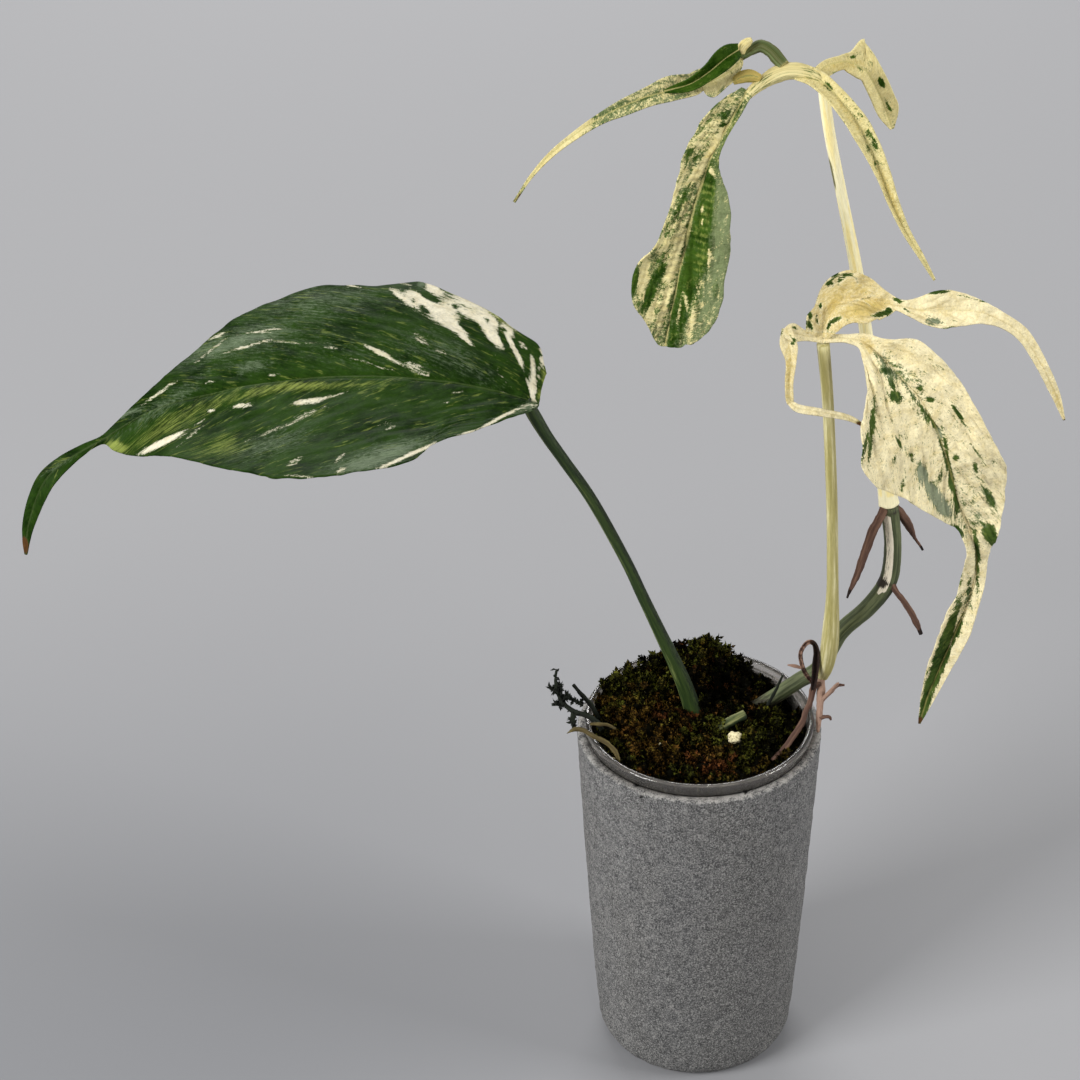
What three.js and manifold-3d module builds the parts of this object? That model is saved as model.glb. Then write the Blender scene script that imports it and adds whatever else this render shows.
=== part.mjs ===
// A young variegated Amydrium zippelianum: one vine with three leaves, rooted in a clear nursery pot
// that hangs by its lip in a grey stone-finish cover pot.
// Millimetres, +Z up. The origin is the middle of the cover pot's base, on the surface it stands on.
import * as THREE from 'three';
import { mergeVertices } from 'three/addons/utils/BufferGeometryUtils.js';
import Module from 'manifold-3d';

// Driving dimensions of the cover pot
const POT_HEIGHT = 143;
const RIM_RADIUS = 45;
const FOOT_RADIUS = 36.7;
const FOOT_FLAT = 30;
const FOOT_ROUND = 9;
const POT_BELLY = 0.75;
const POT_WALL = 4;
const POT_FLOOR = 6;
const RIM_ROUND = 1.2;
const WALL_RINGS = [34, 68, 104];

// Driving dimensions of the clear nursery pot
const LINER_WALL = 0.9;
const LINER_PLAY = 0.7;
const LINER_BASE = 9;
const LIP_RADIUS = 42;
const LIP_TOP = 148;
const DRAIN_HOLES = 6;
const DRAIN_RADIUS = 3;
const DRAIN_CIRCLE = 21;

// The substrate and what lies on it
const SOIL_BASE = 10.5;
const SOIL_SHOULDER = 132;
const SOIL_LEVEL = 143.8;
const SOIL_PLAY = 0.35;

// Clearance between pieces that touch, blade thickness, and how finely round things are divided
const GAP = 0.3;
const BLADE = 0.75;
const WELD = 1e-4;
const ROUND = 40;

// Blades are laid out by the side that they show, which looks forward and up at this pitch.
const SHOWN_PITCH = THREE.MathUtils.degToRad(33);
const FACING = new THREE.Vector3(0, -Math.cos(SHOWN_PITCH), Math.sin(SHOWN_PITCH));

const STONE = { color: 0x77787a, roughness: 0.9, metalness: 0 };
const CLEAR = { color: 0xd5dadd, roughness: 0.15, metalness: 0, transparent: true, opacity: 0.35 };
const MOSS = { color: 0x33300f, roughness: 1, metalness: 0 };
const STEM_GREEN = { color: 0x3f6b2c, roughness: 0.55, metalness: 0 };
const STEM_CREAM = { color: 0xd9d39a, roughness: 0.5, metalness: 0 };
const LEAF_GREEN = { color: 0x2c5226, roughness: 0.45, metalness: 0 };
const LEAF_CREAM = { color: 0xe6dfa8, roughness: 0.5, metalness: 0 };
const LEAF_MOTTLED = { color: 0xb9bf7d, roughness: 0.5, metalness: 0 };
const ROOT_BROWN = { color: 0x7a5347, roughness: 0.85, metalness: 0 };
const HUSK_BROWN = { color: 0x4b3026, roughness: 0.8, metalness: 0 };
const SPRIG_DARK = { color: 0x1c2416, roughness: 1, metalness: 0 };
const PERLITE = { color: 0xe9e2c4, roughness: 0.95, metalness: 0 };

const wasm = await Module();
wasm.setup();

function signedVolume(position, index) {
  const [a, b, c] = [new THREE.Vector3(), new THREE.Vector3(), new THREE.Vector3()];
  let sum = 0;
  for (let i = 0; i < index.length; i += 3) {
    a.fromBufferAttribute(position, index[i]);
    b.fromBufferAttribute(position, index[i + 1]);
    c.fromBufferAttribute(position, index[i + 2]);
    sum += a.dot(b.cross(c));
  }
  return sum / 6;
}

// A closed surface as a solid: shared vertices merged, collapsed faces dropped, faces pointing out
function solid(surface) {
  surface.deleteAttribute('normal');
  surface.deleteAttribute('uv');
  const merged = mergeVertices(surface, WELD);
  const position = merged.getAttribute('position');
  const corners = merged.getIndex().array;
  const index = [];
  for (let i = 0; i < corners.length; i += 3) {
    const [a, b, c] = corners.slice(i, i + 3);
    if (a !== b && b !== c && c !== a) index.push(a, b, c);
  }
  if (signedVolume(position, index) < 0) index.reverse();
  return new wasm.Manifold(new wasm.Mesh({
    numProp: 3,
    vertProperties: Float32Array.from(position.array),
    triVerts: Uint32Array.from(index),
  }));
}

function joined(solids) {
  return solids.reduce((whole, next) => whole.add(next));
}

// What is left of a body where the tools cut it, without the loose scraps
function cut(body, tools) {
  const rest = tools.reduce((left, tool) => left.subtract(tool), body);
  return rest.decompose().reduce((largest, piece) => (piece.volume() > largest.volume() ? piece : largest));
}

function surfaceFrom(points, index) {
  const surface = new THREE.BufferGeometry();
  surface.setAttribute('position', new THREE.Float32BufferAttribute(points.flatMap((p) => p.toArray()), 3));
  surface.setIndex(index);
  return surface;
}

function curveThrough(points) {
  return new THREE.CatmullRomCurve3(points.map((p) => new THREE.Vector3(...p)), false, 'catmullrom', 0.5);
}

// A solid of revolution about +Z, from a profile of [radius, height] points
function turned(profile, segments = ROUND) {
  const outline = profile.map(([radius, height]) => new THREE.Vector2(radius, height));
  return solid(new THREE.LatheGeometry(outline, segments).rotateX(Math.PI / 2));
}

// An ellipse arc in a profile, in degrees from the outward direction
function arc(radius, height, across, up, from, to, steps) {
  return Array.from({ length: steps + 1 }, (_, i) => {
    const angle = THREE.MathUtils.degToRad(from + ((to - from) * i) / steps);
    return [radius + across * Math.cos(angle), height + up * Math.sin(angle)];
  });
}

function bead(centre, radii, sides = 10) {
  const ball = new THREE.SphereGeometry(1, sides, Math.ceil(sides / 2) + 1);
  return solid(ball.scale(...radii).translate(...centre));
}

// A stem, petiole or root: rings of the given radii carried along a curve through the points.
// `swell` fattens it all over, which cuts the hole that it stands in.
function stem(points, radii, { sides = 8, between = 2, swell = 0 } = {}) {
  const spine = curveThrough(points);
  const girth = curveThrough(radii.map((radius) => [radius, 0, 0]));
  const steps = (points.length - 1) * between;
  const rings = [];
  const side = new THREE.Vector3(0, 1, 0);
  for (let i = 0; i <= steps; i += 1) {
    const tangent = spine.getTangent(i / steps);
    const centre = spine.getPoint(i / steps);
    if (i === 0) centre.addScaledVector(tangent, -swell);
    if (i === steps) centre.addScaledVector(tangent, swell);
    side.addScaledVector(tangent, -side.dot(tangent)).normalize();
    const other = tangent.clone().cross(side);
    const radius = girth.getPoint(i / steps).x + swell;
    for (let k = 0; k < sides; k += 1) {
      const turn = (2 * Math.PI * k) / sides;
      rings.push(centre.clone()
        .addScaledVector(side, radius * Math.cos(turn))
        .addScaledVector(other, radius * Math.sin(turn)));
    }
  }
  const index = [];
  for (let i = 0; i < steps; i += 1) {
    for (let k = 0; k < sides; k += 1) {
      const [a, b] = [i * sides + k, i * sides + ((k + 1) % sides)];
      index.push(a, b, a + sides, b, b + sides, a + sides);
    }
  }
  const last = steps * sides;
  for (let k = 1; k < sides - 1; k += 1) {
    index.push(0, k + 1, k, last, last + k, last + k + 1);
  }
  return solid(surfaceFrom(rings, index));
}

// A named stem, and the hole with clearance that it stands in
const rod = ({ points, radii }, options) => stem(points, radii, options);
const roomFor = (shape, options = {}) => rod(shape, { ...options, swell: GAP });

// Half of a blade at one station, from the rib out to its edge: the half turns from `tilt` by `curl`
// on its way out, its edge is swept along the rib, and its margin ripples.
function halfRow(place, side, [width, tilt, sweep], curl, ripple, across) {
  const points = [];
  let out = 0;
  let up = 0;
  for (let k = 1; k <= across; k += 1) {
    const angle = THREE.MathUtils.degToRad(tilt + (curl * (k - 0.5)) / across);
    out += (width / across) * Math.cos(angle);
    up += (width / across) * Math.sin(angle);
    const reach = (k / across) ** 2;
    points.push(place.rib.clone()
      .addScaledVector(place.beside, side * out)
      .addScaledVector(place.above, up + ripple * reach)
      .addScaledVector(place.tangent, sweep * reach));
  }
  return points;
}

// A leaf blade or lobe. Each station is [rib point], [width, tilt, sweep] of its right half and of its
// left half, seen along the rib from the side that shows. Both faces are divided alike.
function blade(stations, { curl = [0, 0], ripple = [0, 1], across = 4, between = 2 } = {}) {
  const spine = curveThrough(stations.map(([rib]) => rib));
  const right = curveThrough(stations.map((station) => station[1]));
  const left = curveThrough(stations.map((station) => station[2]));
  const steps = (stations.length - 1) * between;
  const grid = [];
  for (let i = 0; i <= steps; i += 1) {
    const t = i / steps;
    const tangent = spine.getTangent(t);
    const beside = tangent.clone().cross(FACING).normalize();
    const place = { rib: spine.getPoint(t), tangent, beside, above: beside.clone().cross(tangent) };
    const wave = 2 * Math.PI * ripple[1] * t;
    const fade = Math.sin(Math.PI * t) * ripple[0];
    const rightRow = halfRow(place, 1, right.getPoint(t).toArray(), curl[0], fade * Math.sin(wave), across);
    const leftRow = halfRow(place, -1, left.getPoint(t).toArray(), curl[1], fade * Math.cos(wave), across);
    grid.push([...leftRow.reverse(), place.rib, ...rightRow]);
  }
  return solid(thickened(grid));
}

// A grid of points given a wall, with the same diagonals on both faces
function thickened(grid) {
  const [rows, columns] = [grid.length, grid[0].length];
  const faces = [[], []];
  for (let i = 0; i < rows; i += 1) {
    for (let k = 0; k < columns; k += 1) {
      const along = grid[Math.min(i + 1, rows - 1)][k].clone().sub(grid[Math.max(i - 1, 0)][k]);
      const over = grid[i][Math.min(k + 1, columns - 1)].clone().sub(grid[i][Math.max(k - 1, 0)]);
      const normal = over.cross(along).normalize();
      faces[0].push(grid[i][k].clone().addScaledVector(normal, BLADE / 2));
      faces[1].push(grid[i][k].clone().addScaledVector(normal, -BLADE / 2));
    }
  }
  const under = rows * columns;
  const index = [];
  for (let i = 0; i < rows - 1; i += 1) {
    for (let k = 0; k < columns - 1; k += 1) {
      const [a, b] = [i * columns + k, (i + 1) * columns + k];
      index.push(a, a + 1, b, a + 1, b + 1, b);
      index.push(under + a, under + b, under + a + 1, under + a + 1, under + b, under + b + 1);
    }
  }
  const wall = (a, b) => index.push(a, under + a, b, b, under + a, under + b);
  for (let i = 0; i < rows - 1; i += 1) {
    wall((i + 1) * columns, i * columns);
    wall((i + 1) * columns - 1, (i + 2) * columns - 1);
  }
  for (let k = 0; k < columns - 1; k += 1) {
    wall(k, k + 1);
    wall((rows - 1) * columns + k + 1, (rows - 1) * columns + k);
  }
  return surfaceFrom([...faces[0], ...faces[1]], index);
}

function potRadius(height) {
  return FOOT_RADIUS + (RIM_RADIUS - FOOT_RADIUS) * (height / POT_HEIGHT) ** POT_BELLY;
}

function linerRadius(height) {
  return potRadius(height) - POT_WALL - LINER_PLAY;
}

function coverPot() {
  const side = potRadius(FOOT_ROUND);
  const inside = (height) => [potRadius(height) - POT_WALL, height];
  return turned([
    [0, 0],
    ...arc(FOOT_FLAT, FOOT_ROUND, side - FOOT_FLAT, FOOT_ROUND, -90, 0, 4),
    ...WALL_RINGS.map((height) => [potRadius(height), height]),
    ...arc(RIM_RADIUS - RIM_ROUND, POT_HEIGHT - RIM_ROUND, RIM_ROUND, RIM_ROUND, 0, 90, 2),
    [RIM_RADIUS - POT_WALL + RIM_ROUND / 2, POT_HEIGHT],
    ...[POT_HEIGHT - RIM_ROUND, ...WALL_RINGS.toReversed(), POT_FLOOR + 4].map(inside),
    [potRadius(POT_FLOOR) - POT_WALL - 4, POT_FLOOR],
    [0, POT_FLOOR],
  ]);
}

function linerPot() {
  const under = POT_HEIGHT + GAP;
  const rings = [LINER_BASE + 3, ...WALL_RINGS];
  const outside = rings.map((height) => [linerRadius(height), height]);
  const inside = rings.toReversed().map((height) => [linerRadius(height) - LINER_WALL, height]);
  const shell = turned([
    [0, LINER_BASE],
    [linerRadius(LINER_BASE) - 3, LINER_BASE],
    ...outside,
    [linerRadius(under), under],
    [LIP_RADIUS - 0.3, under],
    ...arc(LIP_RADIUS - 1.3, LIP_TOP - 1.3, 1.3, 1.3, 0, 180, 4),
    [linerRadius(under) - LINER_WALL, under],
    ...inside,
    [linerRadius(LINER_BASE) - 4, LINER_BASE + LINER_WALL],
    [0, LINER_BASE + LINER_WALL],
  ]);
  const drains = Array.from({ length: DRAIN_HOLES }, (_, i) => {
    const turn = (2 * Math.PI * i) / DRAIN_HOLES;
    const drill = new THREE.CylinderGeometry(DRAIN_RADIUS, DRAIN_RADIUS, 6, 10).rotateX(Math.PI / 2);
    return solid(drill.translate(DRAIN_CIRCLE * Math.cos(turn), DRAIN_CIRCLE * Math.sin(turn), LINER_BASE));
  });
  return cut(shell, drains);
}

// Heaps and hollows of the moss: [x, y, rise, spread]
const MOSS_HEAPS = [
  [4, 30, 8, 9],
  [-20, 27, 3.5, 12],
  [-22, 4, 3, 14],
  [16, -14, 1.5, 8],
  [31, 14, -6, 9],
];

function mossHeight(x, y) {
  const heaps = MOSS_HEAPS.reduce(
    (sum, [cx, cy, rise, spread]) => sum + rise * Math.exp(-((x - cx) ** 2 + (y - cy) ** 2) / spread ** 2),
    0,
  );
  const lumps = 0.7 * Math.sin(0.55 * x + 0.4 * y) * Math.cos(0.5 * y - 0.3 * x)
    + 0.45 * Math.sin(1.1 * x - 0.7 * y + 1);
  const edge = Math.max(0, Math.hypot(x, y) - 30) * 0.12;
  return SOIL_LEVEL + heaps + lumps - edge;
}

// The plug of substrate that fills the nursery pot, with its moss raised from the top by a formula
function mossPlug() {
  const soilRadius = (height) => linerRadius(height) - LINER_WALL - SOIL_PLAY;
  const top = soilRadius(POT_HEIGHT);
  const rims = [0.14, 0.3, 0.46, 0.6, 0.74, 0.88, 1].map((share) => share * top);
  const walls = [SOIL_SHOULDER, ...WALL_RINGS.toReversed(), LINER_BASE + 5];
  const rings = [
    ...rims.map((radius) => [radius, null]),
    ...walls.map((height) => [soilRadius(height), height]),
    [soilRadius(SOIL_BASE) - 5, SOIL_BASE],
  ];
  const points = [new THREE.Vector3(0, 0, mossHeight(0, 0))];
  rings.forEach(([radius, height]) => {
    for (let k = 0; k < ROUND; k += 1) {
      const turn = (2 * Math.PI * k) / ROUND;
      const [x, y] = [radius * Math.cos(turn), radius * Math.sin(turn)];
      points.push(new THREE.Vector3(x, y, height ?? mossHeight(x, y)));
    }
  });
  points.push(new THREE.Vector3(0, 0, SOIL_BASE));
  const index = [];
  for (let k = 0; k < ROUND; k += 1) {
    const next = (k + 1) % ROUND;
    index.push(0, 1 + k, 1 + next);
    for (let ring = 0; ring < rings.length - 1; ring += 1) {
      const [a, b] = [1 + ring * ROUND + k, 1 + ring * ROUND + next];
      index.push(a, a + ROUND, b, b, a + ROUND, b + ROUND);
    }
    const last = 1 + (rings.length - 1) * ROUND;
    index.push(last + k, points.length - 1, last + next);
  }
  return solid(surfaceFrom(points, index));
}

// The vine, from its buried end over the rim to the third node, and its roots in the substrate
const VINE = {
  points: [
    [-8, 9, 128], [3, 10, 131], [14.5, 12.5, 137], [26.4, 13, 144.2], [37.5, 13, 153], [45.2, 13, 159],
    [52.2, 13.5, 174.2], [62, 14, 184.8], [68.5, 14, 196.5], [69.5, 15, 211], [67.5, 16, 227],
  ],
  radii: [2.4, 2.8, 2.8, 2.8, 2.9, 3, 3, 3.1, 3.3, 3.1, 3.3],
};
const BURIED_ROOTS = [
  [[-6, 9, 128], [-12, 12, 105], [-20, 14, 80], [-17, 18, 52], [-22, 12, 30]],
  [[-3, 9, 129], [-4, 2, 108], [-12, -8, 88], [-10, -18, 60], [-2, -22, 36]],
  [[3, 10, 130], [8, 4, 110], [14, -6, 84], [22, -10, 58], [18, -14, 30]],
  [[9, 11, 133], [14, 16, 112], [12, 24, 86], [18, 22, 60], [10, 26, 38]],
  [[14, 12, 136], [22, 8, 118], [26, 2, 98], [24, 10, 74], [27, 6, 50]],
];
const BURIED_RADII = [1.3, 1.1, 1, 0.9, 0.6];

const GREEN_PETIOLE = {
  points: [
    [0.5, 8.5, 132], [-1.2, 8, 141.6], [-5.6, 7.5, 158], [-14.8, 5.5, 183], [-20.9, 3.5, 199.7],
    [-26.8, 1.8, 215.8], [-38.4, -1.2, 242.9], [-47.9, -3.3, 260.6], [-53.7, -4.4, 271.2],
    [-58.5, -5, 281.2], [-60.6, -5.6, 286.2],
  ],
  radii: [3.2, 3.3, 2.9, 2.3, 2.1, 2, 2, 2, 2.1, 2.3, 1.6],
};
const CREAM_PETIOLE = {
  points: [
    [45.8, 10, 157.6], [46.7, 7.4, 164], [47.3, 5, 173.9], [47.4, 4.2, 182.2], [47.2, 3.2, 198],
    [46.5, 2.2, 213.6], [45, 0.3, 240], [41.7, -3, 280.7], [39, -4.3, 304.6],
  ],
  radii: [2.4, 2.9, 3.2, 3, 2.2, 2, 1.95, 1.95, 2.15],
};
const TOP_PETIOLE = {
  points: [
    [67.4, 16.1, 227.6], [66.6, 16.5, 232.5], [62.9, 18, 257.3], [57.2, 19, 290.8], [52.2, 18, 318.4],
    [45.6, 14, 348.5], [40.3, 10, 372.1], [37.6, 8, 387], [37, 7.7, 392.6],
  ],
  radii: [3.6, 3.3, 2.5, 2.2, 2.1, 1.8, 1.8, 1.8, 1.7],
};

// The green leaf: the right half is its far one, and its long drip tip hangs at the end
const GREEN_BLADE = [
  [[-56, -5, 284.5], [14.5, -34, -3], [5, 42, 4]],
  [[-62, -6, 287.5], [25.5, -34, -6.5], [12, 42, 5]],
  [[-72, -7, 291.5], [31, -34, -7], [24, 42, 8]],
  [[-84, -8, 295], [40, -34, -6], [35, 42, 11.5]],
  [[-97, -10, 298], [46.5, -34, -4], [46, 42, 12]],
  [[-112, -11, 300], [43, -34, -1.5], [50, 42, 10.5]],
  [[-127, -12, 300.5], [43.5, -34, 1], [50.5, 42, 9.5]],
  [[-140, -13, 300], [37.5, -34, 3.5], [47, 42, 10]],
  [[-153, -15, 299.5], [30.5, -34, 3], [41, 42, 9.5]],
  [[-165, -17, 298], [21.5, -34, 2], [32, 41, 8.5]],
  [[-176.5, -19, 296.5], [12, -32, 2], [23, 38, 8.5]],
  [[-187, -21, 293], [6, -28, 0.5], [13.5, 30, 8]],
  [[-195, -23, 289], [2.8, -20, 0], [6, 20, 5]],
  [[-200.5, -24.5, 286], [1.4, -10, 0], [1.2, 10, 1]],
  [[-207, -26, 283], [2, -10, 0], [1.6, 10, 1]],
  [[-214, -28, 279.5], [2.5, -10, 0], [3, 10, 0]],
  [[-220, -29, 274], [3.1, -10, 0], [3.5, 10, 0]],
  [[-224, -30, 267], [3, -10, 0.5], [3.1, 10, 0]],
  [[-227.5, -31, 258], [2.4, -10, 0.5], [2.2, 10, 0]],
  [[-229.2, -31, 251], [1.5, -10, 0], [1.2, 10, 0]],
  [[-230, -31, 245.5], [0.5, 0, 0], [0.4, 0, 0]],
];

// The cream leaf's lobes: the broad one, the folded one behind it with its wing, and the narrow tongue
const BROAD_LOBE = [
  [[39, -4, 306.5], [1.5, 10, 0], [1.5, 10, 0]],
  [[47, -4, 306.3], [1.5, 10, 0], [1.5, 10, 0]],
  [[51.7, -5, 305.7], [3.3, 20, 1], [3, 10, 1]],
  [[55.8, -8, 303.5], [8.4, 22, 3], [6.3, 12, 1.5]],
  [[61, -11, 299.5], [17, 20, 2.5], [12, 14, 0]],
  [[66, -14, 294.8], [25.5, 16, 2.5], [14, 12, 0.5]],
  [[70.5, -16, 289.2], [31, 14, 4.5], [14.5, 10, 1]],
  [[75.2, -18, 282], [28.5, 14, 8.5], [14.5, 8, 2.5]],
  [[79, -19, 272.5], [19, 16, 10], [16, 6, 2.5]],
  [[82, -20, 263], [13, 18, 8.5], [18.5, 6, 5]],
  [[85, -20, 253], [8, 18, 6], [15.5, 6, 7]],
  [[88.3, -20, 243.8], [4.2, 16, 2], [11, 8, 4]],
  [[91.2, -20, 235.8], [3.6, 20, -1], [8, 20, 1]],
  [[93.2, -19, 228], [4.6, 20, -2], [4.6, 20, -1.5]],
  [[93.8, -18, 218.5], [5.4, 20, -2.5], [3.6, 20, -1]],
  [[92.5, -16, 207], [6.1, 24, -3], [3.6, 20, 0]],
  [[89, -14, 192], [7, 26, -3], [5, 20, -0.5]],
  [[84.7, -13, 176.5], [5.5, 24, -2], [4, 18, 0]],
  [[81.2, -12, 162.5], [2.6, 16, -0.5], [2.5, 14, 0.5]],
  [[79, -12, 151], [0.4, 0, 0], [0.4, 0, 0]],
];
const FOLDED_LOBE = [
  [[39, -4, 307], [2, 10, 0], [6.2, 10, 1]],
  [[39.9, -2, 312.8], [7.2, 34, -1], [6.6, 12, -1]],
  [[42.7, 0, 317], [13.5, 36, 2.5], [5.2, 20, -4]],
  [[48, 1, 319], [11, 34, 7], [9, 24, -4.8]],
  [[53.7, 1, 318.3], [6, 30, 7], [8.5, 24, -5]],
  [[58.6, 0, 317.2], [2.8, 20, 4], [5, 16, -1]],
  [[63.8, -1, 316.6], [1.8, 0, 0], [2.3, 0, 0]],
  [[68.4, -2, 316], [3.2, 20, -0.5], [3.5, 10, 0.5]],
  [[74.6, -4, 316.2], [6, 24, -1], [6.6, 16, 1]],
  [[82, -5, 316.8], [6.7, 24, -1], [6.2, 16, 0.5]],
  [[90, -6, 316], [4.4, 18, -0.5], [4.2, 12, 0]],
  [[98, -7, 313], [2.5, 14, -0.5], [2.7, 10, 0]],
  [[104.6, -8, 308], [1.9, 12, 0], [2.6, 10, -0.5]],
  [[110.8, -9, 298.8], [2.1, 12, -0.5], [2.1, 10, 0]],
  [[116.8, -10, 287], [1.6, 10, 0], [1.6, 10, -0.5]],
  [[120.8, -10, 276.5], [0.4, 0, 0], [0.4, 0, 0]],
];
const TONGUE_ARM = [
  [[39.5, -4, 306.3], [1.5, 0, 0], [1.5, 0, 0]],
  [[33, -5, 308.3], [1.8, 10, 0.5], [1.7, 10, -0.5]],
  [[28.5, -6.2, 310], [3.4, 20, 0.5], [3, 20, 0]],
  [[25.6, -7, 310.6], [1.6, 10, 0], [1.6, 10, 0]],
];
const TONGUE_FALL = [
  [[26.4, -6.4, 312.2], [1.6, 10, 0], [1.6, 10, 0]],
  [[27, -8.2, 307.2], [3.2, 24, 0], [3, 20, 1]],
  [[27.8, -11, 302], [1.9, 20, 0], [1.8, 20, 0]],
  [[27.2, -13, 295], [1.5, 24, 0], [1.4, 20, 0]],
  [[27.6, -14, 289], [1.4, 10, 0], [1.2, 10, 0]],
  [[28.2, -14.2, 287.3], [0.8, 0, 0], [0.8, 0, 0]],
];
const TONGUE_TIP = [
  [[27.3, -14, 288.4], [0.9, 0, 0], [0.9, 0, 0]],
  [[30.5, -15, 286.3], [1.5, 10, 0], [1.3, 10, 0]],
  [[38, -16, 285.2], [1.5, 20, 0], [1.2, 20, 0]],
  [[47, -17, 283.2], [0.9, 10, 0], [1.1, 10, 0]],
  [[53.6, -18, 279.8], [0.4, 0, 0], [0.4, 0, 0]],
];

// The top leaf's lobes: the hanging one, the right one, the one behind it, the long left one
const RIGHT_LOBE = [
  [[28, 8, 397], [3.2, 20, 0.5], [2.4, 20, 0]],
  [[34, 6, 395.8], [4.4, 24, 0.5], [2.9, 24, 0]],
  [[40, 2, 391.7], [4.8, 26, 0.5], [3, 26, 0.5]],
  [[46.5, -2, 384.3], [5, 26, -0.5], [3.7, 26, 0.5]],
  [[51.2, -5, 376], [4.2, 26, -2], [3.7, 26, 0]],
  [[55, -7, 367.3], [2.6, 26, -1.5], [3.3, 26, 0]],
  [[58.5, -9, 358.2], [1.6, 24, -1.5], [2.6, 24, 0]],
  [[63.3, -10, 348.6], [1.4, 20, -1.5], [1.6, 20, 0]],
  [[68.6, -11, 340], [0.9, 10, -1], [1, 10, 0]],
  [[73.6, -11, 331.3], [0.4, 0, 0], [0.4, 0, 0]],
];
const BACK_LOBE = [
  [[33, 8.5, 394], [2.1, 10, -1.2], [1.8, 10, 0.8]],
  [[38, 13, 396.4], [3.8, 20, -1.7], [2, 20, 0.2]],
  [[43.8, 17, 396.2], [3.2, 20, -1.8], [2.1, 20, -1.1]],
  [[47, 18.5, 395], [4.3, 20, -1.5], [3.6, 14, -1.9]],
  [[50, 19.5, 393], [4.5, 20, -1.1], [8, 10, -5.2]],
  [[53, 20.5, 390], [4, 20, -0.1], [4.9, 14, -4.3]],
  [[57.3, 22, 381.4], [4, 20, -1.3], [4.6, 20, -0.9]],
  [[60, 22, 375], [3.7, 20, -1.9], [4.3, 20, -1.6]],
  [[61.8, 22, 370], [0.7, 0, 0], [0.7, 0, 0]],
];
const HANGING_LOBE = [
  [[12.3, 3, 393.2], [2.2, 10, 0.1], [2.1, 10, 0.4]],
  [[8.6, 0, 387.3], [8.3, 24, 3], [1.9, 10, 0.1]],
  [[4.4, -2, 379.8], [9.4, 24, 2.9], [1.5, 14, -0.1]],
  [[0.9, -4, 373.8], [9.7, 24, 2], [2.7, 16, 0.1]],
  [[-2, -5, 366], [8.6, 24, 1.9], [6.7, 16, -2]],
  [[-4.3, -7, 358.8], [8.1, 22, 0.9], [11.3, 16, -3.3]],
  [[-6.8, -8, 348], [9.7, 20, -0.3], [14.6, 16, -3.7]],
  [[-7.9, -8.5, 342.2], [12, 19, 0.3], [15.3, 16, -3.7]],
  [[-9.1, -9, 336.2], [15.5, 18, 0.2], [15.5, 16, -4.2]],
  [[-11, -11, 327], [14.8, 16, 1.5], [16, 16, -3.9]],
  [[-12.6, -12, 319], [8.7, 16, 0.5], [14.9, 16, -3]],
  [[-13.8, -13, 312.4], [3.7, 14, 0.7], [10.8, 14, -2.6]],
  [[-14.1, -13.5, 310.2], [1.5, 10, 0], [5, 10, -0.4]],
];
const LEFT_LOBE = [
  [[11, 10, 401], [1.2, 10, -1], [1.2, 10, 1.2]],
  [[8, 8, 398.4], [3.7, 20, 0.1], [3.9, 20, 4.5]],
  [[1.9, 6, 395.7], [5.1, 20, 0], [5.8, 20, 3]],
  [[-2.2, 5, 395], [4.8, 20, -0.3], [2.8, 20, 0.5]],
  [[-5, 4, 394], [4.8, 20, 0.6], [2.9, 20, 0]],
  [[-12, 2, 393.8], [5.1, 20, 0.9], [3.6, 20, 0.5]],
  [[-19.4, 0, 393.4], [2.9, 20, 0.9], [4, 20, 0.9]],
  [[-26.7, -3, 391.7], [2.3, 20, 1], [3.6, 20, 1]],
  [[-33.8, -5, 389], [1.6, 14, 0], [2.3, 14, 0.5]],
  [[-41.3, -8, 385.5], [1.1, 10, 0], [1.7, 10, 0.5]],
  [[-50, -10, 379.3], [0.8, 10, 0], [1.2, 10, 0]],
  [[-56.8, -12, 372.3], [0.6, 0, 0], [0.6, 0, 0]],
  [[-62.6, -14, 364.2], [0.4, 0, 0], [0.4, 0, 0]],
];
const LEFT_TROUGH = [
  [[9.5, 7.5, 405], [2.2, 30, -0.5], [2.6, 30, 1]],
  [[5, 4.5, 403.4], [4.6, 40, 0], [5, 40, 1.5]],
  [[-0.3, 2.5, 399.8], [3.2, 44, 0.5], [4.3, 44, 0]],
  [[-6.3, 1, 396.6], [2.1, 40, 0.5], [3.4, 40, 0]],
  [[-14.3, 0.5, 394.6], [0.5, 10, 0], [0.5, 10, 0]],
];
const RACHIS = {
  points: [
    [38.6, 6.8, 392.4], [34.6, 6.5, 396], [30.2, 7.5, 397.1], [25.7, 8, 397.3], [22.3, 8, 396.4],
    [19.1, 7.3, 395], [15.4, 5.2, 393.3], [12.4, 2.8, 391.7],
  ],
  radii: [1.5, 1.8, 2.6, 2.8, 2.8, 2.4, 1.9, 1.5],
};
const LEFT_STALK = {
  points: [
    [24.1, 8, 399.1], [22.6, 9.5, 400.5], [20.1, 11, 403], [17, 12, 404.3], [14.1, 11.5, 403.3],
    [10.8, 9.5, 401.8],
  ],
  radii: [2, 2.1, 2.1, 2, 1.7, 1.1],
};
const KNOB = {
  points: [[10.4, 9, 403.4], [11, 9.2, 405.3], [12.6, 9.4, 406.9], [13.8, 9.4, 407.7]],
  radii: [1.3, 1.6, 1.4, 0.8],
};
const BULGE = {
  points: [[7.7, 5, 395.3], [10, 5.4, 396.4], [12.9, 5.8, 396.9], [16.4, 6, 396]],
  radii: [1, 1.9, 2.1, 1.4],
};

function greenLeaf() {
  return blade(GREEN_BLADE, { curl: [-14, 12], ripple: [1.1, 4], across: 5 });
}

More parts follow.
